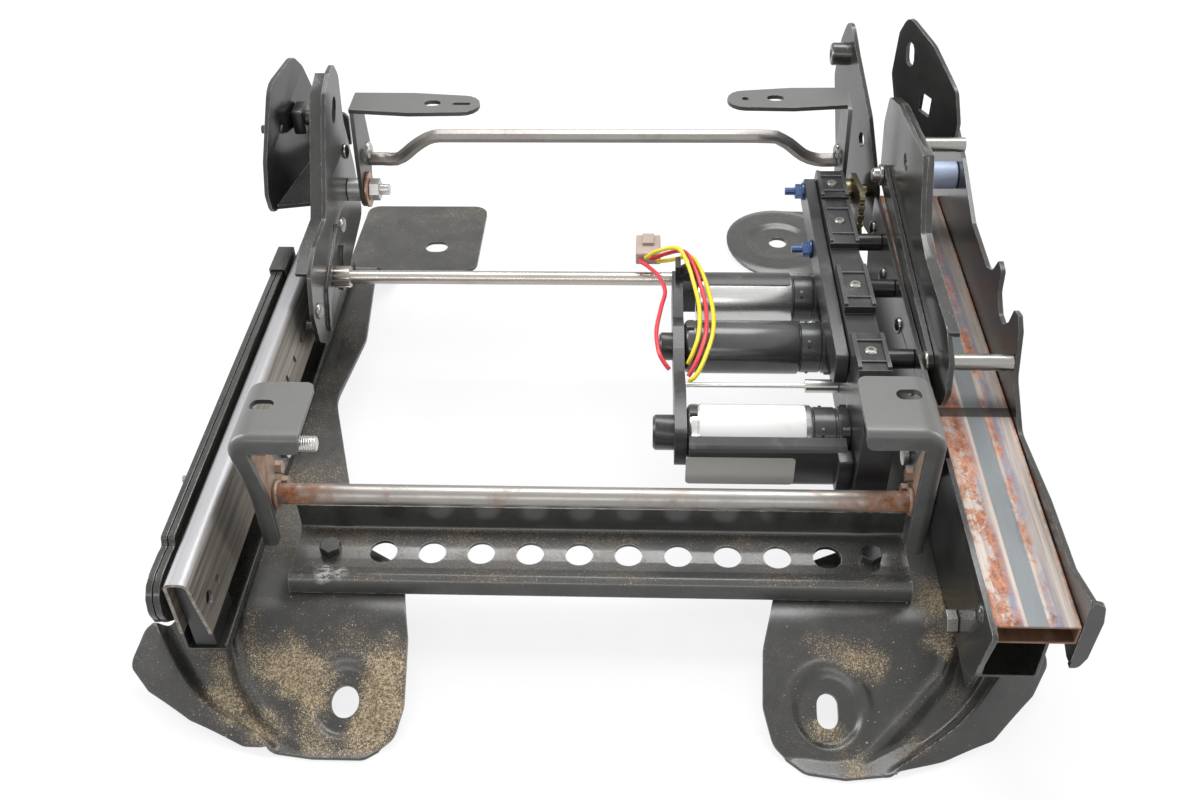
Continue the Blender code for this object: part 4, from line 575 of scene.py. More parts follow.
@dataclass(frozen=True)
class Insulation(Finish):
    """Extruded wire covering with a slight handling film."""

    colour: Colour = (0.7, 0.05, 0.05)

    def build(self, g: Graph) -> bpy.types.Material:
        """Vary the colour a little and dull it in patches."""
        tone = g.noise(130, 4, 0.6)
        dirt = g.noise(70, 6, 0.7, seed=2).within(0.58, 0.78) * 0.3
        base = g.blend(tone, paler(self.colour, 0.82), self.colour)
        return g.finish(Base_Color=g.blend(dirt, base, WIRE_DIRT),
                        Roughness=(0.28 + dirt * 0.6 + tone * 0.08).limited(),
                        Normal=g.bump(tone, 0.03))


@dataclass(frozen=True)
class Sand(Finish):
    """Loose grit on the feet."""

    def build(self, g: Graph) -> bpy.types.Material:
        """Colour each grain from straw to brown by noise."""
        return g.finish(Base_Color=g.ramp(g.noise(260, 4, 0.8), LOOSE_SAND), Roughness=0.85)


BLACK = SatinCoat("coat_black", roughness=0.2)
BASE_LEFT = SatinCoat("coat_base_left", dust=0.75, roughness=0.26, heaps=(
    (-199, 38, -67, 14, 0.35), (-180, 29, -71, 22, 0.7), (-168, 17, -77, 24, 1.1), (-122, 26, -73, 22, 0.7),
    (-124, 10, -81, 26, 1.2), (-119, -3, -87, 22, 1.0), (-134, -8, -90, 18, 0.7), (-217, 24, -73, 14, 0.7),
    (-211, 8, -81, 16, 1.0), (-202, -3, -87, 14, 0.8), (-186, -12, -92, 14, 0.8), (-164, -2, -87, 14, 0.8),
    (-154, -14, -93, 14, 0.7), (-145, 36, -68, 16, 0.3), (-190, 130, -60, 60, 0.25), (-228, 36, -68, 14, 0.5)))
BASE_RIGHT = SatinCoat("coat_base_right", dust=0.4, top_sheen=0.06, roughness=0.26, heaps=(
    (126, 32, -70, 16, 0.45), (141, 33, -70, 18, 0.7), (120, -3, -87, 12, 0.8), (132, -19, -93, 14, 0.7),
    (161, -5, -88, 16, 0.4), (187, 66, -60, 20, 0.9), (187, 42, -65, 14, 0.7), (190, 20, -76, 14, 0.4)))
CROSS = SatinCoat("coat_cross", colour=(0.028, 0.028, 0.027), dust=1.0, roughness=0.2, top_sheen=0.4,
                  wear_and_glint=1.0, heaps=((-150, 96, -49, 30, 0.3), (-60, 92, -49, 60, 0.2)),
                  scrapes=((-161, 71, -49, 8), (-151, 70, -49, 6)))
SIDE = SatinCoat("coat_side", dust=0.3, roughness=0.2,
                 heaps=((193, 46, -40, 30, 0.7), (193, 30, -60, 20, 0.5)))
GREY = SatinCoat("coat_grey", colour=(0.036, 0.037, 0.0355), roughness=0.34, dust=0.1, wear_and_glint=0.35,
                 top_sheen=0.62)
RIVET = DrawnSteel("steel_rivet", colour=(0.34, 0.33, 0.31), rust=0.05, grime=0.5, roughness=0.24)
ZINC = DrawnSteel("steel_zinc", colour=(0.60, 0.59, 0.57), rust=0.05, grime=0.4, roughness=0.28)
SHAFT = DrawnSteel("steel_shaft", colour=(0.46, 0.43, 0.39), rust=0.05, grime=0.45, roughness=0.25)
TORQUE = DrawnSteel("steel_torque", colour=(0.33, 0.315, 0.295), rust=0.42, grime=0.4, roughness=0.34,
                    rust_ends=(-0.172, 0.178))
REAR_BAR = DrawnSteel("steel_rear_bar", colour=(0.215, 0.20, 0.185), rust=0.30, grime=0.45,
                      metallic=0.8)
RUSTY = DrawnSteel("steel_rusty", colour=(0.36, 0.30, 0.24), rust=0.95, grime=0.4, metallic=0.6,
                   roughness=0.4)
RAIL = GalvanisedRail("steel_rail")
TUBE = RustyTube("steel_tube")
PLASTIC = Moulding("plastic_black", colour=(0.013, 0.013, 0.014), roughness=0.3)
NOSE = Moulding("plastic_nose", colour=(0.030, 0.031, 0.033), roughness=0.26, grain=0.2, dust=0.08)
CAN = SatinCoat("coat_can", colour=(0.03, 0.031, 0.032), roughness=0.2, dust=0.05, wear_and_glint=0.3,
                top_sheen=0.25)
BRIGHT_CAN = DrawnSteel("steel_bright_can", colour=(0.66, 0.66, 0.65), roughness=0.24, grime=0.18,
                        rust=0.0)
GOLD = DrawnSteel("steel_gold", colour=(0.23, 0.195, 0.12), rust=0.1, grime=0.6)
COPPER = DrawnSteel("steel_copper", colour=(0.46, 0.27, 0.185), rust=0.12, grime=0.35)
BLUE = DrawnSteel("steel_blue", colour=(0.045, 0.085, 0.20), rust=0.0, grime=0.3, metallic=0.5)
NYLON = Moulding("plastic_nylon", colour=(0.40, 0.47, 0.62), roughness=0.32, grain=0.3, dust=0.12)
LABEL = Paper("paper_white")
GREY_LABEL = Paper("paper_grey", colour=(0.42, 0.41, 0.385))
DARK_LABEL = Paper("paper_dark", colour=(0.035, 0.036, 0.034))
RED = Insulation("wire_red", colour=(0.66, 0.035, 0.055))
YELLOW = Insulation("wire_yellow", colour=(0.80, 0.66, 0.02))
SHELL = Moulding("plastic_shell", colour=(0.30, 0.235, 0.20), roughness=0.42, dust=0.25)
GRIT = Sand("sand_grit")


# Meshes


def settle(name: str, points: Array, faces: Iterable[Sequence[int]], smooth: float = 35.0) -> Piece:
    """Make a mesh object from points and faces, shaded smooth below an angle.

    Args:
        name: The piece's name.
        points: Its points as (n, 3), in metres.
        faces: Its faces as rows of point numbers.
        smooth: Angle in degrees above which an edge stays sharp.

    Returns:
        The object, at the origin.
    """
    mesh = bpy.data.meshes.new(name)
    mesh.from_pydata(np.asarray(points).tolist(), [], [list(face) for face in faces])
    mesh.validate()
    mesh.update()
    mesh.shade_smooth()
    mesh.set_sharp_from_angle(angle=math.radians(smooth))
    made = bpy.data.objects.new(name, mesh)
    bpy.context.scene.collection.objects.link(made)
    return made


def quads(rows: int, columns: int, wrap_rows: bool = False, wrap_columns: bool = False) -> Array:
    """Faces of a grid of points, as rows of four numbers; either way round may close on itself."""
    row = np.arange(rows if wrap_rows else rows - 1)
    column = np.arange(columns if wrap_columns else columns - 1)
    row, column = np.meshgrid(row, column, indexing="ij")
    after_row, after_column = (row + 1) % rows, (column + 1) % columns
    corners = [row * columns + column, row * columns + after_column,
               after_row * columns + after_column, after_row * columns + column]
    return np.stack(corners, -1).reshape(-1, 4)


def outward(made: Piece) -> Piece:
    """Point the faces of a closed piece outwards."""
    form = bmesh.new()
    form.from_mesh(made.data)
    bmesh.ops.recalc_face_normals(form, faces=form.faces)
    form.to_mesh(made.data)
    form.free()
    made.data.set_sharp_from_angle(angle=CREASE)
    return made


def loft(name: str, rings: Array, smooth: float = 35.0) -> Piece:
    """A closed piece through rings of points, capped at both ends.

    Args:
        name: The piece's name.
        rings: Points as (ring, point, 3), in metres.
        smooth: Angle in degrees above which an edge stays sharp.

    Returns:
        The object.
    """
    count, around = rings.shape[:2]
    faces = quads(count, around, wrap_columns=True).tolist()
    faces.append(list(range(around))[::-1])
    faces.append(list(range((count - 1) * around, count * around)))
    return outward(settle(name, rings.reshape(-1, 3), faces, smooth))


def turned(name: str, profile: Sequence[Pair], at: Pair,
           axis: Axis = Axis.X, steps: int = 48) -> Piece:
    """A turned piece: each (radius, place) pair is a circle round the axis at that place.

    Args:
        name: The piece's name.
        profile: Radius and place along the axis, in rail millimetres.
        at: The two other rail coordinates of the axis.
        axis: The axis of turning.
        steps: Points of each circle.

    Returns:
        The object.
    """
    radius, place = np.array(profile, float).T
    turn = np.linspace(0, 2 * np.pi, steps, endpoint=False)
    first = at[0] + np.maximum(radius, 0.02)[:, None] * np.cos(turn)
    second = at[1] + np.maximum(radius, 0.02)[:, None] * np.sin(turn)
    along = np.repeat(place[:, None], steps, 1)
    order = {Axis.X: (along, first, second), Axis.Y: (first, along, second),
             Axis.Z: (first, second, along)}
    return loft(name, rail(np.stack(order[axis], -1)))


def soft_box(name: str, low: Sequence[float], high: Sequence[float], radius: float = 1.2,
             axis: Axis = Axis.Z) -> Piece:
    """A box with rounded corners and edges: a round-cornered rectangle carried along an axis.

    Args:
        name: The piece's name.
        low: Its lowest corner in rail millimetres.
        high: Its highest corner.
        radius: Radius of its corners.
        axis: The axis the section is carried along.

    Returns:
        The object.
    """
    low, high = np.array(low, float), np.array(high, float)
    others = [i for i in range(3) if i != axis.value]
    turn = np.linspace(0, np.pi / 2, 5)
    corner = np.stack([np.cos(turn), np.sin(turn)], -1)
    spin = np.array(((1, 1), (-1, 1), (-1, -1), (1, -1)))
    half = (high - low)[others] / 2
    middle = (high + low)[others] / 2
    inset = radius * (1 - np.cos(np.linspace(0, np.pi / 2, 4)))[::-1]
    place = radius * (1 - np.sin(np.linspace(0, np.pi / 2, 4)))[::-1]
    stages = [(low[axis.value] + p, i) for p, i in zip(place, inset)]
    stages = sorted(stages) + sorted((high[axis.value] - p, i) for p, i in zip(place, inset))
    rings = []
    for at, shrink in stages:
        core = half - radius
        reach = max(radius - shrink, 0.05)
        loop = np.concatenate([sign * (core + reach * (corner if k % 2 == 0 else corner[::-1]))
                               for k, sign in enumerate(spin)])
        ring = np.zeros((len(loop), 3))
        ring[:, others] = middle + loop
        ring[:, axis.value] = at
        rings.append(ring)
    return loft(name, rail(np.array(rings)))


def catmull(points: Sequence[Sequence[float]], spacing: float) -> Array:
    """Even places along a smooth curve through points.

    The curve is Catmull and Rom's cubic of each four neighbours, read at 24 places a stretch and then
    again at even lengths.

    Args:
        points: Route points in rail millimetres.
        spacing: Distance between places.

    Returns:
        Places as (n, 3), in rail millimetres.
    """
    path = np.array(points, float)
    path = np.vstack([2 * path[0] - path[1], path, 2 * path[-1] - path[-2]])
    t = np.linspace(0, 1, 24, endpoint=False)[None, :, None]
    before, here, after, beyond = (path[i:len(path) - 3 + i, None] for i in range(4))
    square = 2 * before - 5 * here + 4 * after - beyond
    cube = 3 * here - before - 3 * after + beyond
    dense = 0.5 * (2 * here + (after - before) * t + square * t ** 2 + cube * t ** 3)
    dense = np.vstack([dense.reshape(-1, 3), path[-2]])
    reach = np.append(0, np.cumsum(np.linalg.norm(np.diff(dense, axis=0), axis=1)))
    even = np.linspace(0, reach[-1], max(int(round(reach[-1] / spacing)), 2) + 1)
    return np.stack([np.interp(even, reach, dense[:, i]) for i in range(3)], -1)


def swept(name: str, route: Array, radius: Array | float, sides: int = 16) -> Piece:
    """A round bar along a route: a circle square to the route at each place, of that place's radius.

    Args:
        name: The piece's name.
        route: Places as (n, 3), in rail millimetres.
        radius: Radius, one for all or one for each place.
        sides: Points of each circle.

    Returns:
        The object.
    """
    way = np.gradient(route, axis=0)
    way /= np.linalg.norm(way, axis=1)[:, None]
    helper = np.where(np.abs(way[:, 2:]) > 0.8, (1.0, 0, 0), (0, 0, 1.0))
    side = np.cross(way, helper)
    side /= np.linalg.norm(side, axis=1)[:, None]
    up = np.cross(side, way)
    turn = np.linspace(0, 2 * np.pi, sides, endpoint=False)[None, :, None]
    reach = np.broadcast_to(np.asarray(radius, float), len(route))[:, None, None]
    rings = route[:, None] + reach * (np.cos(turn) * side[:, None] + np.sin(turn) * up[:, None])
    return loft(name, rail(rings))


def threaded(name: str, at: Pair, span: Pair, radius: float,
             pitch: float = 1.25, depth: float = 0.55) -> Piece:
    """A screw thread along X: the radius falls and rises once a pitch and turns once with it.

    Args:
        name: The piece's name.
        at: (y, z) of the axis in rail millimetres.
        span: First and last x.
        radius: Outer radius.
        pitch: Distance between turns.
        depth: Depth of the groove.

    Returns:
        The object.
    """
    low, high = min(span), max(span)
    steps, rows_of_pitch = 28, 8
    rows = int((high - low) / pitch * rows_of_pitch) + 1
    place = np.linspace(low, high, rows)[:, None]
    turn = np.linspace(0, 2 * np.pi, steps, endpoint=False)[None]
    phase = (place / pitch - turn / (2 * np.pi)) % 1.0
    groove = np.abs(phase * 2 - 1)
    chamfer = 0.8 * (1 - ease(np.minimum(place - low, high - place) / 1.2))
    reach = radius - depth * groove - chamfer
    rings = np.stack([np.repeat(place, steps, 1), at[0] + reach * np.cos(turn),
                      at[1] + reach * np.sin(turn)], -1)
    return loft(name, rail(rings), 50)


def weld(name: str, route: Sequence[Sequence[float]], radius: float) -> Piece:
    """A weld bead: a round bar whose radius swells and falls with each laid drop."""
    spacing, drop, taper = 0.5, 1.9, 2.0
    places = catmull(route, spacing)
    step = np.arange(len(places)) * spacing
    drops = 1 + 0.13 * np.abs(np.sin(step * np.pi / drop)) - 0.06 * np.sin(step * 0.9)
    ends = np.clip(np.minimum(step, step[::-1]) / taper, 0.15, 1) ** 0.5
    return swept(name, places, radius * drops * ends, 12)


def round_outline(corners: Sequence[Sequence[float]], arc: int = 6) -> Array:
    """Points of an outline whose corners (a, b, radius) are arcs that touch both sides."""
    points: list[Array] = []
    for index, corner in enumerate(corners):
        here = np.array(corner[:2], float)
        if len(corner) < 3:
            points.append(here[None])
            continue
        before = np.array(corners[index - 1][:2], float) - here
        after = np.array(corners[(index + 1) % len(corners)][:2], float) - here
        lengths = np.linalg.norm(before), np.linalg.norm(after)
        before, after = before / lengths[0], after / lengths[1]
        half = math.acos(float(np.clip(before @ after, -1, 1))) / 2
        reach = min(corner[2] / math.tan(half), lengths[0] * 0.49, lengths[1] * 0.49)
        radius = reach * math.tan(half)
        centre = here + (before + after) / np.linalg.norm(before + after) * radius / math.sin(half)
        first, last = here + before * reach - centre, here + after * reach - centre
        start = math.atan2(first[1], first[0])
        sweep = (math.atan2(last[1], last[0]) - start + math.pi) % (2 * math.pi) - math.pi
        turn = start + sweep * np.linspace(0, 1, arc)
        points.append(centre + radius * np.stack([np.cos(turn), np.sin(turn)], -1))
    return np.concatenate(points)


def rectangle(low: Pair, high: Pair, radius: float, arc: int = 6,
              top_radius: float | None = None) -> Array:
    """A rectangle's loop with round corners.

    Args:
        low: Its lowest corner.
        high: Its highest corner.
        radius: Radius of its corners.
        arc: Points of each corner.
        top_radius: Radius of the two upper corners, if another.

    Returns:
        The loop.
    """
    top = radius if top_radius is None else top_radius
    return round_outline(((*low, radius), (high[0], low[1], radius), (*high, top),
                          (low[0], high[1], top)), arc)


def inside(places: Array, outline: Array) -> Array:
    """Whether plan places lie inside an outline, by counting the sides that a ray to +X crosses."""
    x, y = places[..., 0, None], places[..., 1, None]
    x1, y1 = outline.T
    x2, y2 = np.roll(outline, -1, 0).T
    crosses = (y1 > y) != (y2 > y)
    at = (x2 - x1) * (y - y1) / np.where(y2 == y1, 1e-9, y2 - y1) + x1
    return (crosses & (x < at)).sum(-1) % 2 == 1


def snapped(places: Array, loops: Sequence[Array]) -> Array:
    """The nearest places on a set of closed loops: each side's closest point, and the best side."""
    first = np.concatenate(loops)
    last = np.concatenate([np.roll(loop, -1, 0) for loop in loops])
    side = last - first
    share = ((places[:, None] - first) * side).sum(-1) / np.maximum((side ** 2).sum(-1), 1e-9)
    close = first + np.clip(share, 0, 1)[..., None] * side
    best = ((close - places[:, None]) ** 2).sum(-1).argmin(1)
    return close[np.arange(len(places)), best]


def trimmed_sheet(name: str, xs: Array, ys: Array, outline: Array, holes: Sequence[Array],
                  height: Callable[[Array, Array], Array], thickness: float) -> Piece:
    """A pressed sheet: height is a function of plan place on a grid that is cut to an outline.

    Cells whose middle lies inside are kept, and the points on their border move onto the outline.

    Args:
        name: The piece's name.
        xs: Grid lines across.
        ys: Grid lines along.
        outline: Outer loop.
        holes: Loops of its holes.
        height: Upper face from plan place.
        thickness: Of the sheet, downwards.

    Returns:
        The object with its wall and edge rounding.
    """
    grid = np.stack(np.meshgrid(xs, ys), -1)
    middle = (grid[:-1, :-1] + grid[1:, 1:]) / 2
    kept = inside(middle, outline)
    for hole in holes:
        kept &= ~inside(middle, hole)
    faces = quads(len(ys), len(xs))[kept.reshape(-1)]
    plan = grid.reshape(-1, 2)
    pairs = np.sort(np.concatenate([faces[:, [i, (i + 1) % 4]] for i in range(4)]), 1)
    unique, counts = np.unique(pairs, axis=0, return_counts=True)
    border = np.unique(unique[counts == 1])
    plan[border] = snapped(plan[border], [outline, *holes])
    used, faces = np.unique(faces, return_inverse=True)
    plan = plan[used]
    points = np.column_stack([plan, height(plan[:, 0], plan[:, 1])])
    made = settle(name, rail(points), faces.reshape(-1, 4), 180)
    thickened(made, thickness, -1)
    softened(made, 0.5, 60)
    return made


def softened(piece: Piece, radius: float, angle: float,
             segments: int = 2) -> bpy.types.BevelModifier:
    """Round a piece's edges.

    Args:
        piece: The piece.
        radius: Width of the rounding in millimetres.
        angle: Edges that turn by more than this, in degrees, are rounded.
        segments: Steps of the rounding.

    Returns:
        The modifier.
    """
    edge = piece.modifiers.new("edge", "BEVEL")
    edge.width, edge.segments = radius * MM, segments
    edge.limit_method, edge.angle_limit = "ANGLE", math.radians(angle)
    return edge


def thickened(piece: Piece, thickness: float, offset: int) -> bpy.types.SolidifyModifier:
    """Give a sheet its thickness in millimetres, below its face (-1) or above it (1)."""
    wall = piece.modifiers.new("sheet", "SOLIDIFY")
    wall.thickness, wall.offset = thickness * MM, offset
    return wall


def dress(piece: Piece, body: Body, finish: Finish, slot: str,
          replaces: Sequence[str] = ()) -> Piece:
    """Give a new piece its finish and its body, and hide the CAD nodes it stands for.

    Args:
        piece: The piece.
        body: The body it moves with.
        finish: Its finish.
        slot: The record's material slot; not used.
        replaces: CAD nodes it stands for.

    Returns:
        The piece.
    """
    piece.data.materials.clear()
    piece.data.materials.append(finish.material())
    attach(piece, body.value)
    if replaces:
        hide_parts(*replaces)
    return piece


def slab(name: str, loop: Array, axis: Axis, span: Pair) -> Piece:
    """A flat closed piece: a loop of two coordinates carried along an axis from end to end."""
    rings = np.insert(np.repeat(loop[None], 2, 0), axis.value, np.array(span)[:, None], axis=2)
    return loft(name, rail(rings))


def carved(piece: Piece, cutters: Sequence[Piece]) -> Piece:
    """Cut other pieces out of a piece for good, after its modifiers, and take the cutters away."""
    for cutter in cutters:
        hole = piece.modifiers.new("hole", "BOOLEAN")
        hole.operation, hole.solver, hole.object = "DIFFERENCE", "EXACT", cutter
    graph = bpy.context.evaluated_depsgraph_get()
    whole = bpy.data.meshes.new_from_object(piece.evaluated_get(graph))
    piece.modifiers.clear()
    piece.data = whole
    whole.set_sharp_from_angle(angle=CREASE)
    for cutter in cutters:
        bpy.data.objects.remove(cutter)
    return piece


def dome(name: str, at: Pair, face: float, out: int, body: Body, finish: Finish,
         radius: float = 5.6, rise: float = 3.0) -> None:
    """A rivet head on a plate that faces along X: a quarter ellipse turned round the rivet's axis."""
    sunk, rim = 0.4, 0.5
    turn = np.linspace(0, np.pi / 2, 8)
    rows = [(0.0, face - out * sunk), (radius, face - out * sunk), (radius, face + out * rim)]
    rows += [(radius * math.cos(t), face + out * (rim + (rise - rim) * math.sin(t)))
             for t in turn[1:]]
    dress(turned(name, rows, at, steps=32), body, finish, "zinc_steel")


def refine(node: str, body: Body, finish: Finish, slot: str, bevel: float,
           segments: int = 2) -> Piece:
    """Stand a merged copy with rounded edges in place of a CAD node.

    Args:
        node: The CAD node.
        body: Its body.
        finish: Its finish.
        slot: The record's material slot.
        bevel: Edge radius in millimetres.
        segments: Steps of the rounding.

    Returns:
        The new piece.
    """
    form = bmesh.new()
    form.from_mesh(bpy.data.objects[node].data)
    bmesh.ops.remove_doubles(form, verts=form.verts, dist=WELD_DISTANCE)
    bmesh.ops.dissolve_limit(form, angle_limit=FLAT_ANGLE, verts=form.verts, edges=form.edges)
    mesh = bpy.data.meshes.new(node + "_dressed")
    form.to_mesh(mesh)
    form.free()
    mesh.shade_smooth()
    mesh.set_sharp_from_angle(angle=CAD_CREASE)
    made = bpy.data.objects.new(node + "_dressed", mesh)
    bpy.context.scene.collection.objects.link(made)
    if bevel:
        edge = softened(made, bevel, 38, segments)
        edge.use_clamp_overlap = edge.harden_normals = True
    return dress(made, body, finish, slot, [node])


def refine_all(body: Body, *groups: tuple) -> None:
    """Refine groups of CAD nodes of one body.

    Args:
        body: Their body.
        groups: Names with spaces between, finish, slot, edge radius and if needed its steps.
    """
    for nodes, finish, slot, *edge in groups:
        for node in nodes.split():
            refine(node, body, finish, slot, *edge)


# Sub-assemblies


@dataclass
class StampedBase:
    """A pressed floor base: web, sloped front foot with ridge and skirt, and rear foot."""

    side: Side
    outline: tuple[tuple[float, ...], ...]
    crest: tuple[Pair, ...]
    ridge: tuple[Pair, ...]
    foot_hole: Pair
    loops: tuple[Array, ...]
    spans: Pair
    finish: Finish
    grit: tuple[tuple[float, float, float, int], ...] = ()
    thickness: float = 2.5
    bend_y: float = 52.0
    slope: float = 0.50
    valley: float = 5.5
    rise: float = 6.5
    skirt: float = 0.8
    ring: float = 2.3
    ring_radius: float = 14.5
    rim_radius: float = 21.0
    drop_y: float = 386.0
    drop_length: float = 42.0
    dish: Pair = (131.0, 478.0)
    dish_radii: Pair = (20.0, 40.0)
    cell: float = 1.5

    def beyond(self, x: Array, y: Array, line: Sequence[Pair]) -> Array:
        """Distance past a smoothed line of (y, x) places, towards the seat's outside.

        The distance is to the nearest place on the curve, and its sign comes from the side of the
        curve that the place is on.

        Args:
            x: Places across.
            y: Places along.
            line: The line's (y, x) places.

        Returns:
            Distances, negative on the inside.
        """
        curve = catmull([(across, along, 0) for along, across in line], 1.0)[:, :2]
        nearest = np.full(x.shape, np.inf)
        for place in curve:
            nearest = np.minimum(nearest, np.hypot(x - place[0], y - place[1]))
        side = self.side.value * (x - np.interp(y, curve[:, 1], curve[:, 0]))
        return np.sign(side) * nearest

    def height(self, x: Array, y: Array) -> Array:
        """Upper face: the web falls by a smooth ramp at each end, and smooth steps make the pressings.

        Args:
            x: Places across.
            y: Places along.

        Returns:
            Heights.
        """
        lowest = FLOOR_Z + self.thickness
        drop = ease((y - self.drop_y) / self.drop_length)
        height = WEB_Z + (lowest - WEB_Z) * drop
        ahead = self.bend_y - y
        bend = 9.0
        sloped = np.where(ahead > bend, ahead, np.maximum(ahead + bend, 0) ** 2 / (4 * bend))
        height = height - self.slope * sloped
        fade = ease((self.bend_y + 6 - y) / 24)
        past_ridge, past_crest = self.beyond(x, y, self.ridge), self.beyond(x, y, self.crest)
        climb = ease((past_crest + 7) / 9)
        height = height - self.valley * ease(past_ridge / 8) * (1 - climb) * fade
        height = height + self.rise * climb * fade
        height = height + 1.5 * np.exp(-(past_ridge / 2.4) ** 2) * fade
        height = height - self.skirt * np.maximum(past_crest, 0) * fade
        ring = np.hypot(x - self.foot_hole[0], y - self.foot_hole[1])
        height = height - self.ring * (1 - ease((ring - self.ring_radius) / 5)) * fade
        height = height + 1.3 * np.exp(-((ring - self.rim_radius) / 2.8) ** 2) * fade
        if self.side is Side.RIGHT:
            dish = np.hypot(x - self.dish[0], y - self.dish[1])
            inner, outer = self.dish_radii
            height = height + 3.0 * ease((dish - inner) / 7) * (1 - ease((dish - outer) / 12)) * drop
        return np.maximum(height, lowest)

    def strew(self) -> None:
        """Loose grit: an octahedron at each of seeded random places, turned, squashed and half sunk."""
        dice = np.random.default_rng(7)
        spots = np.concatenate([np.column_stack([dice.normal(place, reach / 2, count)
                                                 for place in (x, y)])
                                for x, y, reach, count in self.grit])
        loop = round_outline(self.outline)
        spots = spots[inside(spots, loop)]
        for hole in self.loops:
            spots = spots[~inside(spots, hole)]
        size = 0.22 + 0.5 * dice.random(len(spots)) ** 3
        stones = 3
        size[:stones] = 1.5
        corners = np.array(((1, 0, 0), (-1, 0, 0), (0, 1, 0), (0, -1, 0), (0, 0, 1), (0, 0, -1)), float)
        turn = dice.random(len(spots)) * np.pi
        zero, one = np.zeros_like(turn), np.ones_like(turn)
        spin = np.stack([np.cos(turn), -np.sin(turn), zero, np.sin(turn), np.cos(turn), zero,
                         zero, zero, one], -1)
        grains = corners * (0.7 + 0.6 * dice.random((len(spots), 6, 1)))
        grains = np.einsum("nij,nkj->nki", spin.reshape(-1, 3, 3), grains) * size[:, None, None]
        middle = np.column_stack([spots, self.height(*spots.T) + size * 0.35])
        points = (grains + middle[:, None]).reshape(-1, 3)
        triangles = np.array(((0, 2, 4), (2, 1, 4), (1, 3, 4), (3, 0, 4),
                              (2, 0, 5), (1, 2, 5), (3, 1, 5), (0, 3, 5)))
        faces = (triangles + 6 * np.arange(len(spots))[:, None, None]).reshape(-1, 3)
        made = outward(settle(self.side.name.lower() + "_grit", rail(points), faces, 20))
        dress(made, Body.FRAME, GRIT, "black_coat")

    def build(self) -> None:
        """Make the base and stand it in place of its node."""
        xs = np.arange(self.spans[0], self.spans[1] + self.cell, self.cell)
        ys = np.concatenate([np.arange(-30, 66, self.cell), np.arange(66, 384, 6.0),
                             np.arange(384, 542, self.cell * 1.4)])
        name = self.side.name.lower() + "_base"
        made = trimmed_sheet(name + "_pressed", xs, ys, round_outline(self.outline), self.loops,
                             self.height, self.thickness)
        dress(made, Body.FRAME, self.finish, "black_coat", [name])
        self.strew()


def ring_loop(centre: Pair, radius: float, stretch: Pair = (0, 0),
              count: int = 32) -> Array:
    """A round or long hole: a circle whose halves are pulled apart."""
    turn = np.linspace(0, 2 * np.pi, count, endpoint=False)
    loop = radius * np.stack([np.cos(turn), np.sin(turn)], -1)
    return np.array(centre) + loop + np.sign(loop.round(6)) * np.array(stretch) / 2


def right_base_outline() -> tuple[tuple[float, ...], ...]:
    """The right base's outline: a round rear foot, the web and the front foot."""
    turn = np.radians(80 + 190 * np.arange(21) / 20)
    lobe = np.stack([131 + 43 * np.cos(turn), 478 + 50 * np.sin(turn)], -1)
    return (*map(tuple, lobe), (160, 400, 20), (163, 150, 30), (140, 104, 20), (98, 84, 12), (92, 56, 10),
            (87, 36, 10), (86, 8, 12), (91, -10, 12), (107, -24, 10), (128, -27, 6), (152, -24, 6),
            (180, -16, 12), (209, -3, 12), (234, 21, 10), (245, 38, 4), (238, 46, 6), (237, 400, 30),
            (200, 440, 20), (190, 526, 14))


@dataclass
class LowerFrame:
    """Everything bolted to the floor."""

    bases: tuple[StampedBase, ...] = field(default_factory=lambda: (
        StampedBase(
            Side.LEFT,
            ((-114, 60, 6), (-110, 38, 10), (-109, 5, 14), (-113, -10, 10), (-128, -21, 8), (-156, -21, 6),
             (-194, -16, 12), (-226, -3, 12), (-254, 14, 6), (-268, 28, 4), (-258, 40, 6), (-242, 46, 8),
             (-240, 400, 30), (-226, 424, 20), (-224, 533, 10), (-119, 533, 12), (-119, 436, 10),
             (-178, 430, 14), (-189, 396, 20), (-180, 300, 40), (-188, 232, 40), (-163, 150, 30),
             (-150, 104, 20), (-118, 84, 12)),
            ((-20, -181), (-15, -181), (0, -213), (16, -232), (42, -252), (60, -262)),
            ((-21, -156), (-10, -172), (3, -187), (16, -199), (36, -208), (56, -214)),
            (-142, 8), (ring_loop((-142, 8), 7.8), ring_loop((-156, 469), 7.5, (4, 0))),
            (-272, -104), BASE_LEFT,
            ((-120, 30, 1, 3), (-124, 10, 16, 200), (-168, 17, 12, 120), (-180, 29, 12, 60),
             (-122, -3, 12, 110), (-211, 8, 10, 70), (-200, -4, 10, 60), (-160, -8, 12, 60),
             (-150, 30, 60, 120), (-190, 110, 30, 60))),
        StampedBase(
            Side.RIGHT, right_base_outline(),
            ((-24, 150), (-15, 166), (1, 191), (18, 208), (35, 218), (60, 228)),
            ((-24, 130), (-13, 142), (2, 159), (17, 175), (28, 185), (56, 196)),
            (121, 8), (ring_loop((121, 8), 5.75, (0, 5.5)), ring_loop((131, 478), 7.5)),
            (82, 250), BASE_RIGHT,
            ((188, 60, 1, 3), (141, 33, 12, 70), (120, -3, 6, 40), (188, 62, 12, 90), (188, 40, 8, 40),
             (131, -19, 8, 30), (150, 20, 60, 60)))))

    def build(self) -> None:
        """Bases, cross-member, lower rails, guide bars and the fixed side plate."""
        for base in self.bases:
            base.build()
            LOG.info("%s base", base.side.name.lower())
        CROSS_MEMBER.build()
        refine_all(Body.FRAME,
                   ("base_side_plate", SIDE, "black_coat", 0.6),
                   ("cross_bolt_left cross_bolt_right left_lower_rail right_lower_rail "
                    "guide_bar_inner guide_bar_outer bar_cap", BLACK, "black_coat", 0.6),
                   ("bar_pin side_plate_bolt", RIVET, "bare_steel", 0.4))


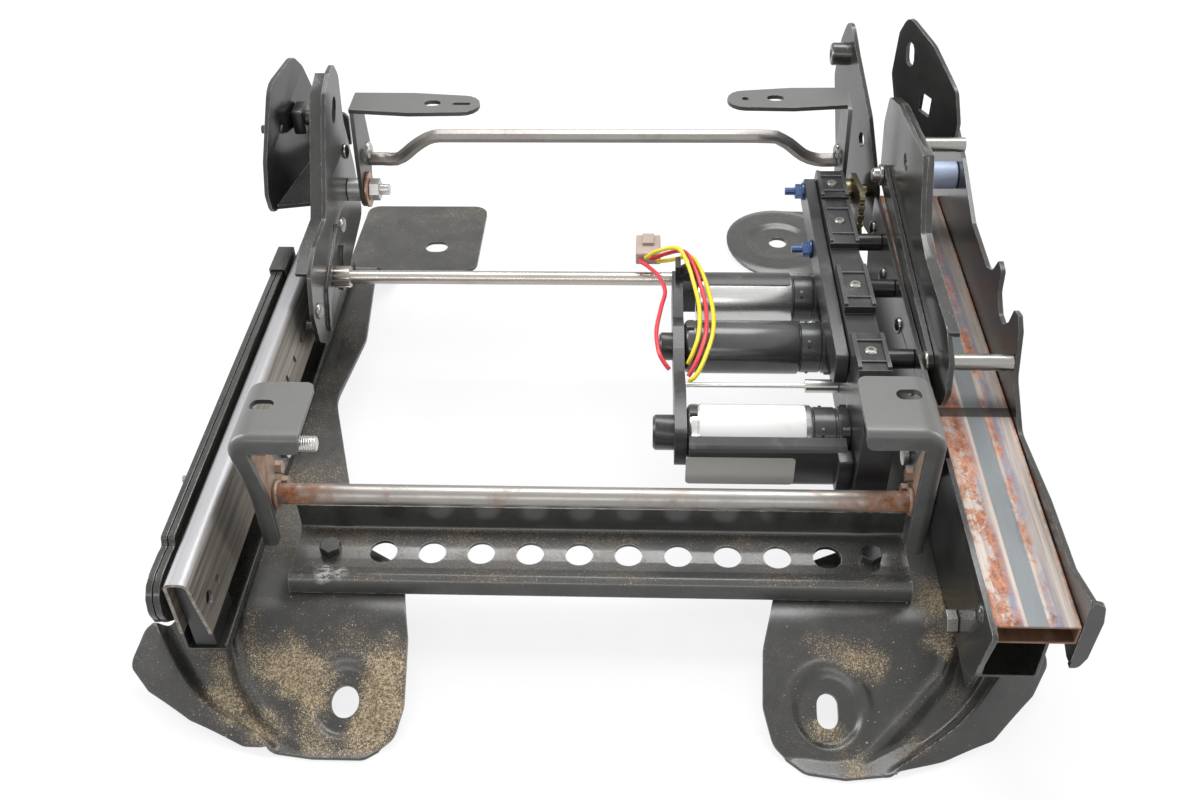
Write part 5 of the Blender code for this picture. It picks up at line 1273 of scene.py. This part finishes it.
@dataclass
class PressedStrip:
    """A long pressed sheet: one bent profile carried from one end to the other, with holes."""

    node: str
    body: Body
    finish: Finish
    slot: str
    corners: tuple[tuple[float, ...], ...]
    thickness: float
    axis: Axis
    span: Pair
    hole_axis: Axis
    hole_span: Pair
    holes: tuple[Array, ...]

    def outline(self) -> Array:
        """The sheet's closed outline: its middle line, moved half its thickness to both sides."""
        path = round_outline(self.corners, 9)
        way = np.gradient(path, axis=0)
        way /= np.linalg.norm(way, axis=1)[:, None]
        side = np.stack([-way[:, 1], way[:, 0]], -1) * self.thickness / 2
        return np.concatenate([path + side, (path - side)[::-1]])

    def build(self) -> None:
        """Carry the outline along the axis, cut every hole and soften the cut rims."""
        made = slab(self.node + "_sheet", self.outline(), self.axis, self.span)
        cutters = [slab(f"{self.node}_cutter_{index}", hole, self.hole_axis, self.hole_span)
                   for index, hole in enumerate(self.holes)]
        carved(made, cutters)
        softened(made, 0.4, 50)
        dress(made, self.body, self.finish, self.slot, [self.node])


CROSS_MEMBER = PressedStrip(
    "cross_member", Body.FRAME, CROSS, "black_coat",
    ((106, -30.5), (106, -49.6, 4), (99, -50.1, 20), (90, -50.1, 20), (82, -50.9, 12),
     (75, -50.7, 8), (70, -49.9, 4), (66.6, -51.2, 3), (64.9, -59.7)),
    2.0, Axis.X, (-181.0, 171.0), Axis.Z, (-60, -40),
    tuple(ring_loop((-129.5 + 28.35 * i, 87), 8.0) for i in range(10))
    + tuple(ring_loop((x, 87), 3.3) for x in (-160, 150)))
LEFT_RAIL = PressedStrip(
    "left_upper_rail", Body.CARRIAGE, RAIL, "zinc_steel",
    ((-224.75, -40), (-224.75, -1, 3.2), (-213.25, -1, 4.2), (-212.45, -12, 22),
     (-209.25, -37, 16), (-209.25, -40)),
    2.0, Axis.Y, (18.0, 348.0), Axis.X, (-222, -203),
    (ring_loop((30.5, -24.5), 4.0), ring_loop((44.5, -26), 2.5),
     *(ring_loop((171 + 20 * i, -24.5), 2.0, (0, 2)) for i in range(5))))


@dataclass
class Carriage:
    """Rails, brackets and side plates that slide."""

    left_rivets: tuple[Pair, ...] = ((350, 4), (263, -8), (392, 40))
    right_rivets: tuple[Pair, ...] = ((352, 2), (300, -2), (236, 4), (180, 0))

    def build(self) -> None:
        """Round the edges of every plate and give each piece its finish."""
        LEFT_RAIL.build()
        refine_all(Body.CARRIAGE,
                   ("right_upper_tube", TUBE, "rusty_steel", 0.9, 3),
                   ("left_inner_bracket left_outer_bracket right_inner_bracket right_outer_lobe "
                    "carriage_plate lever_plate side_link outer_side_plate", BLACK, "black_coat", 1.15, 3),
                   ("bush_pin lower_spacer upper_spacer", RIVET, "zinc_steel", 0.35),
                   ("left_front_pivot right_front_pivot rear_pivot_bolt", ZINC, "zinc_steel", 0.35),
                   ("left_glide_shoe right_glide_block bracket_boss", PLASTIC, "black_plastic", 0.6))
        for index, at in enumerate(self.left_rivets):
            dome(f"left_rivet_{index}", at, -197.7, 1, Body.CARRIAGE, RIVET)
        for index, at in enumerate(self.right_rivets):
            dome(f"right_rivet_{index}", at, 181.0, -1, Body.CARRIAGE, RIVET, 5.3)
        dome("link_rivet", (175, 24), 184.4, -1, Body.CARRIAGE, RIVET, 6.6, 2.4)
        refine_all(Body.CARRIAGE, ("pivot_washer", COPPER, "copper_wash", 0.4),
                   ("nylon_bush", NYLON, "pale_nylon", 0.6))


@dataclass
class FrontBracket:
    """A deep-drawn L bracket: flange, round shoulder and leg, with one lip rolled round its front."""

    side: Side
    top_x: float
    leg_x: float
    top_z: float
    hole: Pair
    width: float = 42.0
    front_y: float = 72.0
    rear_y: float = 118.0
    low_z: float = -29.6
    lip: float = 11.0
    roll: float = 5.0
    thickness: float = 3.0
    pivot: Pair = (130.0, -8.0)
    rear: tuple[Pair, ...] = (
        (-29.6, 86), (-24, 98), (-21, 118), (-17, 134), (-8, 138), (0, 135), (4, 126), (8, 114), (16, 110.5),
        (30, 112), (42, 116), (70, 118))

    def surface(self) -> Piece:
        """The outer face as a grid: a path in X and Z, and across it lip, roll and flat.

        The path runs from the flange's end round the shoulder and down the leg. A point of the lip
        stands inwards of the path by its depth, square to the path.
        """
        inboard = self.top_x - self.side.value * self.width
        knee = ((self.leg_x, 8, 60),) if self.leg_x != self.top_x else ()
        path = round_outline(((inboard, self.top_z), (self.top_x, self.top_z, 13), *knee,
                              (self.leg_x, self.low_z)), 14)
        reach = np.append(0, np.cumsum(np.linalg.norm(np.diff(path, axis=0), axis=1)))
        end, flat_steps = 5.0, 12
        even = np.concatenate([np.linspace(0, end, 8), np.linspace(end, reach[-1] - end, 90)[1:-1],
                               np.linspace(reach[-1] - end, reach[-1], 8)])
        path = np.stack([np.interp(even, reach, path[:, i]) for i in range(2)], -1)
        way = np.gradient(path, axis=0)
        way /= np.linalg.norm(way, axis=1)[:, None]
        inward = self.side.value * np.stack([way[:, 1], -way[:, 0]], -1)
        ends = np.clip(np.minimum(even, reach[-1] - even) / end, 0, 1)
        rounding = np.sqrt(1 - (1 - ends) ** 2)
        lip = self.roll + (self.lip - self.roll) * (0.15 + 0.85 * rounding)
        limit = np.interp(path[:, 1], *np.array(self.rear).T)
        flange = even < self.width - 4
        limit = np.where(flange, self.rear_y - end * (1 - rounding), limit)
        turn = np.linspace(0, np.pi / 2, 8)[None]
        share = np.linspace(0, 1, 6)[None, :-1]
        depth = np.concatenate([lip[:, None] + (self.roll - lip[:, None]) * share,
                                np.repeat(self.roll * (1 - np.sin(turn)), len(path), 0),
                                np.zeros((len(path), flat_steps))], 1)
        rolled = self.front_y + self.roll
        flat = rolled + (limit[:, None] - rolled) * np.linspace(0, 1, flat_steps + 1)[None, 1:]
        curved = np.repeat(self.front_y + self.roll * (1 - np.cos(turn)), len(path), 0)
        along = np.concatenate([np.full((len(path), share.size), self.front_y), curved, flat], 1)
        points = np.stack([path[:, None, 0] + inward[:, None, 0] * depth, along,
                           path[:, None, 1] + inward[:, None, 1] * depth], -1)
        made = settle(self.side.name.lower() + "_drawn_bracket", rail(points).reshape(-1, 3),
                      quads(*points.shape[:2]), 60)
        columns, row = points.shape[1], 12
        flange_face = made.data.polygons[row * (columns - 1) + columns - 4]
        if flange_face.normal.z < 0:
            made.data.flip_normals()
        return made

    def build(self) -> None:
        """Thicken the face inwards, cut its slot and bore, and soften its rims."""
        made = self.surface()
        thickened(made, self.thickness, -1).use_even_offset = False
        hole = slab("slot_cutter", ring_loop(self.hole, 4.1, (5.5, 0)), Axis.Z,
                    (self.top_z - 8, self.top_z + 4))
        radius, low, high = 4.4, self.leg_x - 9, self.leg_x + 9
        bore = turned("bore_cutter", [(0, low), (radius, low), (radius, high), (0, high)],
                      self.pivot, steps=32)
        carved(made, [hole, bore])
        softened(made, 0.6, 55)
        dress(made, Body.FRONT, GREY, "grey_coat", [self.side.name.lower() + "_front_bracket"])


@dataclass
class Lifts:
    """The front torque tube with its brackets, and the rear bar with its arms."""

    tube_y: float = 95.0
    tube_z: float = -11.0
    tube_radius: float = 6.6
    stud: Pair = (84.0, 38.0)
    thread_span: Pair = (-176.5, -152.8)
    brackets: tuple[FrontBracket, ...] = (
        FrontBracket(Side.LEFT, -200.5, -193.0, 52.0, (-183.7, 99.2)),
        FrontBracket(Side.RIGHT, 175.0, 175.0, 60.0, (158.3, 103.3)))

    def build(self) -> None:
        """Dress both lifts and add the stud's thread and the weld beads."""
        refine("torque_tube", Body.FRONT, TORQUE, "bare_steel", 0.3)
        for bracket in self.brackets:
            bracket.build()
        refine_all(Body.FRONT, ("left_crank right_crank", RUSTY, "rusty_steel", 0.5),
                   ("front_stud", ZINC, "zinc_steel", 0.3))
        thread = threaded("stud_thread", self.stud, self.thread_span, 4.35)
        dress(thread, Body.FRONT, ZINC, "zinc_steel")
        turn = np.linspace(0.2, 5.4, 14)
        reach = self.tube_radius
        for name, x in (("weld_left", -186.0), ("weld_right", 168.0)):
            ring = [(x, self.tube_y + reach * math.cos(t), self.tube_z + reach * math.sin(t))
                    for t in turn]
            dress(weld(name, ring, 1.3), Body.FRONT, RUSTY, "rusty_steel")
        refine_all(Body.REAR, ("rear_bar", REAR_BAR, "bare_steel", 0.0),
                   ("left_strap_arm right_strap_arm", GREY, "grey_coat", 0.9, 3))
        dome("left_strap_rivet", (404, 34), -184.0, 1, Body.REAR, ZINC, 6.4, 3.4)
        dome("right_strap_rivet", (404, 34), 158.0, -1, Body.REAR, RIVET, 5.6, 3.0)
        refine("sector_gear", Body.REAR, GOLD, "gold_zinc", 0.25)
        refine("cross_shaft", Body.SHAFT, SHAFT, "zinc_steel", 0.25)


@dataclass
class MotorBlock:
    """Gear housing, three motors, their yoke, cradle and labels."""

    seat_x: float = 138.7
    left_x: float = 45.3
    radius: float = 17.0
    axis_z: float = -8.0
    front_y: float = 146.5
    middle_y: float = 228.0
    rear_y: float = 281.0
    nose_length: float = 21.0
    flange_half: float = 12.5
    housing_x: Pair = (139.0, 157.6)
    lip_width: float = 2.2
    lip_height: float = 1.5
    steps: tuple[tuple[Pair, Pair], ...] = (
        ((335.5, 38.4), (369.5, 37.1)), ((279.5, 37.9), (332.5, 36.1)), ((205.5, 41.9), (250.5, 40.1)),
        ((143.5, 43.9), (176.5, 43.1)))

    def can(self, name: str, y: float, left: float, finish: Finish) -> None:
        """A motor: a rolled can with a rounded end, a stepped gear nose and a square mounting flange.

        Args:
            name: The CAD node.
            y: The motor's axis.
            left: Its left end.
            finish: The can's finish.
        """
        r, nose, end = self.radius, self.seat_x - self.nose_length, self.seat_x
        body = [(0, left), (r - 3.4, left), (r - 2.2, left + 0.3), (r - 0.8, left + 1.2), (r, left + 2.8),
                (r, left + 6.0), (r - 0.35, left + 6.3), (r - 0.35, left + 7.3), (r, left + 7.6),
                (r, nose - 1.4), (r - 0.5, nose - 0.5), (r - 1.2, nose), (0, nose)]
        dress(turned(name + "_can", body, (y, self.axis_z), steps=72), Body.CARRIAGE, finish,
              "motor_can", [name])
        form = [(0, nose - 1), (15.0, nose - 1), (15.0, nose + 0.4), (15.9, nose + 1.0),
                (15.9, nose + 12.6), (15.2, nose + 13.3), (15.2, nose + 14.3), (16.3, nose + 14.8),
                (16.3, end - 1.2), (15.6, end), (0, end)]
        dress(turned(name + "_nose", form, (y, self.axis_z), steps=64), Body.CARRIAGE, NOSE,
              "black_plastic")
        for low, high, depth in ((nose + 4.5, nose + 6.0, 0.5), (nose + 16.5, end - 0.4, 1.0)):
            half = self.flange_half + depth
            loop = rectangle((y - half, self.axis_z - half), (y + half, self.axis_z + half), 4)
            plate = slab(f"{name}_flange_{low:.0f}", loop, Axis.X, (low, high))
            dress(plate, Body.CARRIAGE, PLASTIC, "black_plastic")
        lead = slab(name + "_terminal", rectangle((y - 4, 5.5), (y + 4, 10.4), 1, 4), Axis.X,
                    (left + 1.5, left + 6))
        dress(lead, Body.CARRIAGE, PLASTIC, "black_plastic")

    def label(self, name: str, span: Pair, y: float, arc: Pair,
              finish: Finish, corner: float = 2.2) -> None:
        """A label that hugs a can, with round corners.

        The grid runs along X and round the can. Near its ends in X a row's arc is drawn in by the
        height of a quarter circle.

        Args:
            name: The piece's name.
            span: Its ends along X.
            y: The can's axis.
            arc: Its ends round the can in degrees.
            finish: Its finish.
            corner: Radius of its corners.
        """
        reach = self.radius + 0.16
        near = corner * (1 - np.cos(np.linspace(0, np.pi / 2, 7)))
        along = np.concatenate([span[0] + near, np.linspace(span[0] + corner, span[1] - corner, 20)[1:-1],
                                span[1] - near[::-1]])
        gap = np.clip(np.minimum(along - span[0], span[1] - along), 0, corner)
        inset = np.degrees((corner - np.sqrt(np.maximum(corner ** 2 - (corner - gap) ** 2, 0))) / reach)
        share = np.linspace(0, 1, 24)[None]
        turn = np.radians(arc[0] + inset[:, None] + (arc[1] - arc[0] - 2 * inset[:, None]) * share)
        points = np.stack([np.repeat(along[:, None], 24, 1), y + reach * np.cos(turn),
                           self.axis_z + reach * np.sin(turn)], -1)
        made = settle(name, rail(points).reshape(-1, 3), quads(len(along), 24)[:, ::-1], 60)
        thickened(made, 0.12, 1)
        dress(made, Body.CARRIAGE, finish, "black_plastic")

    def ribbing(self) -> None:
        """Lips along both edges of the housing's stepped top, ribs across it and its screws."""
        near, far = self.housing_x
        for index, (first, last) in enumerate(self.steps):
            way = (last[1] - first[1]) / (last[0] - first[0])
            foot, top = first[1] - 1, first[1] + self.lip_height
            far_foot, far_top = last[1] - 1, last[1] + self.lip_height
            loop = round_outline(((first[0], foot, 0.3), (last[0], far_foot, 0.3),
                                  (last[0], far_top, 0.7), (first[0], top, 0.7)), 4)
            for side, span in (("inner", (near, near + self.lip_width)),
                               ("outer", (far - self.lip_width, far))):
                lip = slab(f"housing_lip_{side}_{index}", loop, Axis.X, span)
                dress(lip, Body.CARRIAGE, NOSE, "black_plastic")
            for share in (0.2, 0.8):
                y = first[0] + (last[0] - first[0]) * share
                z = first[1] + way * (y - first[0])
                loop = rectangle((y - 1, z - 1), (y + 1, z + 1.1), 0.2, 4, 0.6)
                rib = slab(f"housing_rib_{index}_{share}", loop, Axis.X, (near + 1.5, far - 1.5))
                dress(rib, Body.CARRIAGE, NOSE, "black_plastic")
            y = (first[0] + last[0]) / 2
            z = first[1] + way * (y - first[0])
            head = [(0, z - 1), (3.6, z - 1), (3.6, z + 0.5), (2.9, z + 1.2), (1.6, z + 1.3),
                    (1.3, z + 0.4), (0, z + 0.4)]
            screw = turned(f"housing_screw_{index}", head, ((near + far) / 2, y), Axis.Z, 32)
            dress(screw, Body.CARRIAGE, RIVET, "zinc_steel")

    def build(self) -> None:
        """Make motors and housing detail."""
        self.ribbing()
        self.can("rear_motor", self.rear_y, self.left_x + 9, BRIGHT_CAN)
        self.can("middle_motor", self.middle_y, self.left_x, CAN)
        self.can("front_motor", self.front_y, self.left_x, BRIGHT_CAN)
        self.label("rear_motor_label", (59, 116), self.rear_y, (48, 116), DARK_LABEL)
        self.label("front_motor_label", (52.5, 113.5), self.front_y, (62, 149), LABEL)
        loop = rectangle((44.5, -25.5), (107, -4.5), 2.5)
        dress(slab("cradle_label", loop, Axis.Y, (121.7, 122.2)), Body.CARRIAGE, GREY_LABEL,
              "black_plastic")
        refine_all(Body.CARRIAGE,
                   ("gear_housing housing_cover motor_yoke motor_cradle", PLASTIC, "black_plastic", 0.8, 3),
                   ("housing_stud_rear housing_stud_front", BLUE, "blue_nut", 0.3),
                   ("tie_rod", ZINC, "zinc_steel", 0.3))


@dataclass
class Wiring:
    """The free connector and its four wires."""

    radius: float = 1.4
    routes: dict[str, tuple[Triple, ...]] = field(default_factory=lambda: {
        "wire_yellow_long": ((28.4, 309.2, 3), (29.6, 306.8, 3.6), (40, 301.5, 9), (50.2, 291.5, 18.2),
                             (56.5, 275, 18.6), (61, 256, 15.6), (63.2, 236, 14.4), (62.4, 215, 12.8),
                             (57, 197, 7), (51.5, 186, 2.5), (47, 183.5, 0)),
        "wire_red_long": ((24.4, 309.2, 4.2), (25.4, 306.8, 5.4), (34.4, 303.8, 12), (46, 293.4, 20.6),
                          (52.3, 276, 20), (56.8, 257, 15.6), (59, 238, 13.6), (58.2, 216, 12.6),
                          (54, 201, 7.5), (49.6, 191.5, 3), (47, 188.5, 0)),
        "wire_yellow_short": ((20.4, 309.2, 5.2), (21.2, 306.8, 6.8), (27.4, 304.6, 13), (41.4, 294.4, 22.6),
                              (48, 277, 21.6), (52.4, 259, 15.8), (54.6, 243, 13.4), (54.6, 226, 12.6),
                              (53.2, 213, 10.5), (49.4, 202, 5.5), (47, 199.5, 1)),
        "wire_red_short": ((16.4, 309.2, 3), (17.2, 306.4, 3.2), (21.2, 300.5, 4.4), (29, 286, 6),
                           (33.2, 266, 8), (30.6, 248, 8), (27.6, 226, 6), (29, 208, 4),
                           (32, 201.5, 1), (35.6, 197.5, -2))})

    def wire(self, name: str, route: Sequence[Sequence[float]]) -> None:
        """One wire as a curve from the yoke to the connector.

        Args:
            name: The CAD node.
            route: Its route, connector first.
        """
        places = rail(catmull(route[::-1], 2.0))
        length = float(np.linalg.norm(np.diff(places, axis=0), axis=1).sum())
        curve = bpy.data.curves.new(name + "_lead", "CURVE")
        curve.dimensions = "3D"
        curve.bevel_depth = self.radius * 0.001
        curve.bevel_resolution = 4
        curve.use_fill_caps = True
        spline = curve.splines.new("POLY")
        spline.points.add(len(places) - 1)
        spline.points.foreach_set("co", np.column_stack([places, np.ones(len(places))]).ravel())
        made = bpy.data.objects.new(name + "_lead", curve)
        bpy.context.scene.collection.objects.link(made)
        finish, slot = (YELLOW, "yellow_wire") if "yellow" in name else (RED, "red_wire")
        dress(made, Body.CARRIAGE, finish, slot, [name])
        LOG.info("%s is %.3f m long", name, length)

    def build(self) -> None:
        """Make the connector, then each wire."""
        shell = refine("wire_connector", Body.CARRIAGE, SHELL, "beige_plastic", 0.5)
        for name, route in self.routes.items():
            self.wire(name, route)


@dataclass
class Studio:
    """Camera of the photograph, pale floor and soft lights."""

    eye: Triple = (20.573, -375.933, 469.284)
    right: Triple = (0.99926, 0.03461, -0.01676)
    up: Triple = (-0.00999, 0.65454, 0.75596)
    back: Triple = (0.03714, -0.75524, 0.65440)
    lens: float = 36.0
    floor_reach: float = 9.0
    floor_glow: float = 0.82
    surround: float = 0.42
    white: tuple[float, ...] = (1, 1, 1, 1)

    def camera(self) -> None:
        """Set the camera where the photograph was taken from."""
        data = bpy.data.cameras.new("photo_camera")
        data.lens, data.sensor_width = self.lens, 36.0
        data.clip_start, data.clip_end = 0.01, 50.0
        made = bpy.data.objects.new("photo_camera", data)
        matrix = Matrix((self.right, self.up, self.back)).transposed().to_4x4()
        matrix.translation = Vector(rail(self.eye))
        bpy.context.scene.collection.objects.link(made)
        made.matrix_world = matrix
        bpy.context.scene.camera = made

    @staticmethod
    def lamp(name: str, place: Sequence[float], size: Pair, power: float) -> None:
        """A rectangular soft light that points at the object."""
        data = bpy.data.lights.new(name, "AREA")
        data.shape, data.size, data.size_y, data.energy = "RECTANGLE", *size, power
        made = bpy.data.objects.new(name, data)
        made.location = place
        middle = Vector((0, 0, 0.08))
        made.rotation_euler = (middle - Vector(place)).to_track_quat("-Z", "Y").to_euler()
        bpy.context.scene.collection.objects.link(made)

    @staticmethod
    def seen(tree: bpy.types.NodeTree) -> bpy.types.NodeSocket:
        """The sum of a tree's camera, mirror and through rays: 1 where a surface is seen itself."""
        path = tree.nodes.new("ShaderNodeLightPath")
        total = path.outputs["Is Camera Ray"]
        for name in ("Is Glossy Ray", "Is Transmission Ray"):
            add = tree.nodes.new("ShaderNodeMath")
            tree.links.new(total, add.inputs[0])
            tree.links.new(path.outputs[name], add.inputs[1])
            total = add.outputs[0]
        return total

    def floor(self) -> None:
        """A wide pale floor that the camera sees as white but for the object's soft shadow."""
        reach = self.floor_reach
        corners = ((-reach, -reach, 0), (reach, -reach, 0), (reach, reach, 0), (-reach, reach, 0))
        made = settle("floor", np.array(corners, float), [(0, 1, 2, 3)])
        g = Graph("floor_white")
        g.finish(Base_Color=(0.9, 0.9, 0.9), Roughness=0.9)
        share = Wire(g, self.seen(g.tree)).limited() * self.floor_glow
        glow = g.node("ShaderNodeEmission", {}, {"Color": self.white, "Strength": 1.0})
        both = g.node("ShaderNodeMixShader", {}, {0: share, 1: Wire(g, g.shader.outputs[0]), 2: glow})
        g.tree.links.new(both.socket, g.tree.nodes["Material Output"].inputs["Surface"])
        made.data.materials.append(g.material)

    def world(self) -> None:
        """A soft grey surround for the light, white where it is seen or mirrored."""
        world = bpy.data.worlds.new("studio")
        bpy.context.scene.world = world
        world.use_nodes = True
        tree = world.node_tree
        mix = tree.nodes.new("ShaderNodeMixShader")
        tree.links.new(self.seen(tree), mix.inputs[0])
        backs = tree.nodes["Background"], tree.nodes.new("ShaderNodeBackground")
        for index, (back, strength) in enumerate(zip(backs, (self.surround, 1.0))):
            back.inputs[0].default_value = self.white
            back.inputs[1].default_value = strength
            tree.links.new(back.outputs[0], mix.inputs[index + 1])
        tree.links.new(mix.outputs[0], tree.nodes["World Output"].inputs[0])

    def build(self) -> None:
        """Camera, floor, surround and lamps."""
        self.camera()
        self.floor()
        self.world()
        self.lamp("overhead", (0.05, 0.5, 1.35), (1.1, 0.6), 17)
        self.lamp("left_strip", (-1.2, 0.2, 0.7), (0.3, 1.3), 13)
        self.lamp("right_strip", (1.25, 0.1, 0.75), (0.3, 1.2), 10)
        self.lamp("front_fill", (-0.2, -1.4, 0.8), (1.3, 0.14), 4)
        bpy.context.scene.view_settings.view_transform = "Standard"


def main() -> None:
    """Build the looks in order."""
    logging.basicConfig(level=logging.INFO, format="%(name)s: %(message)s")
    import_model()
    Studio().build()
    Wiring().build()
    for part in (LowerFrame(), Carriage(), Lifts(), MotorBlock()):
        part.build()
        LOG.info("built %s", type(part).__name__)


if __name__ == "__main__":
    main()
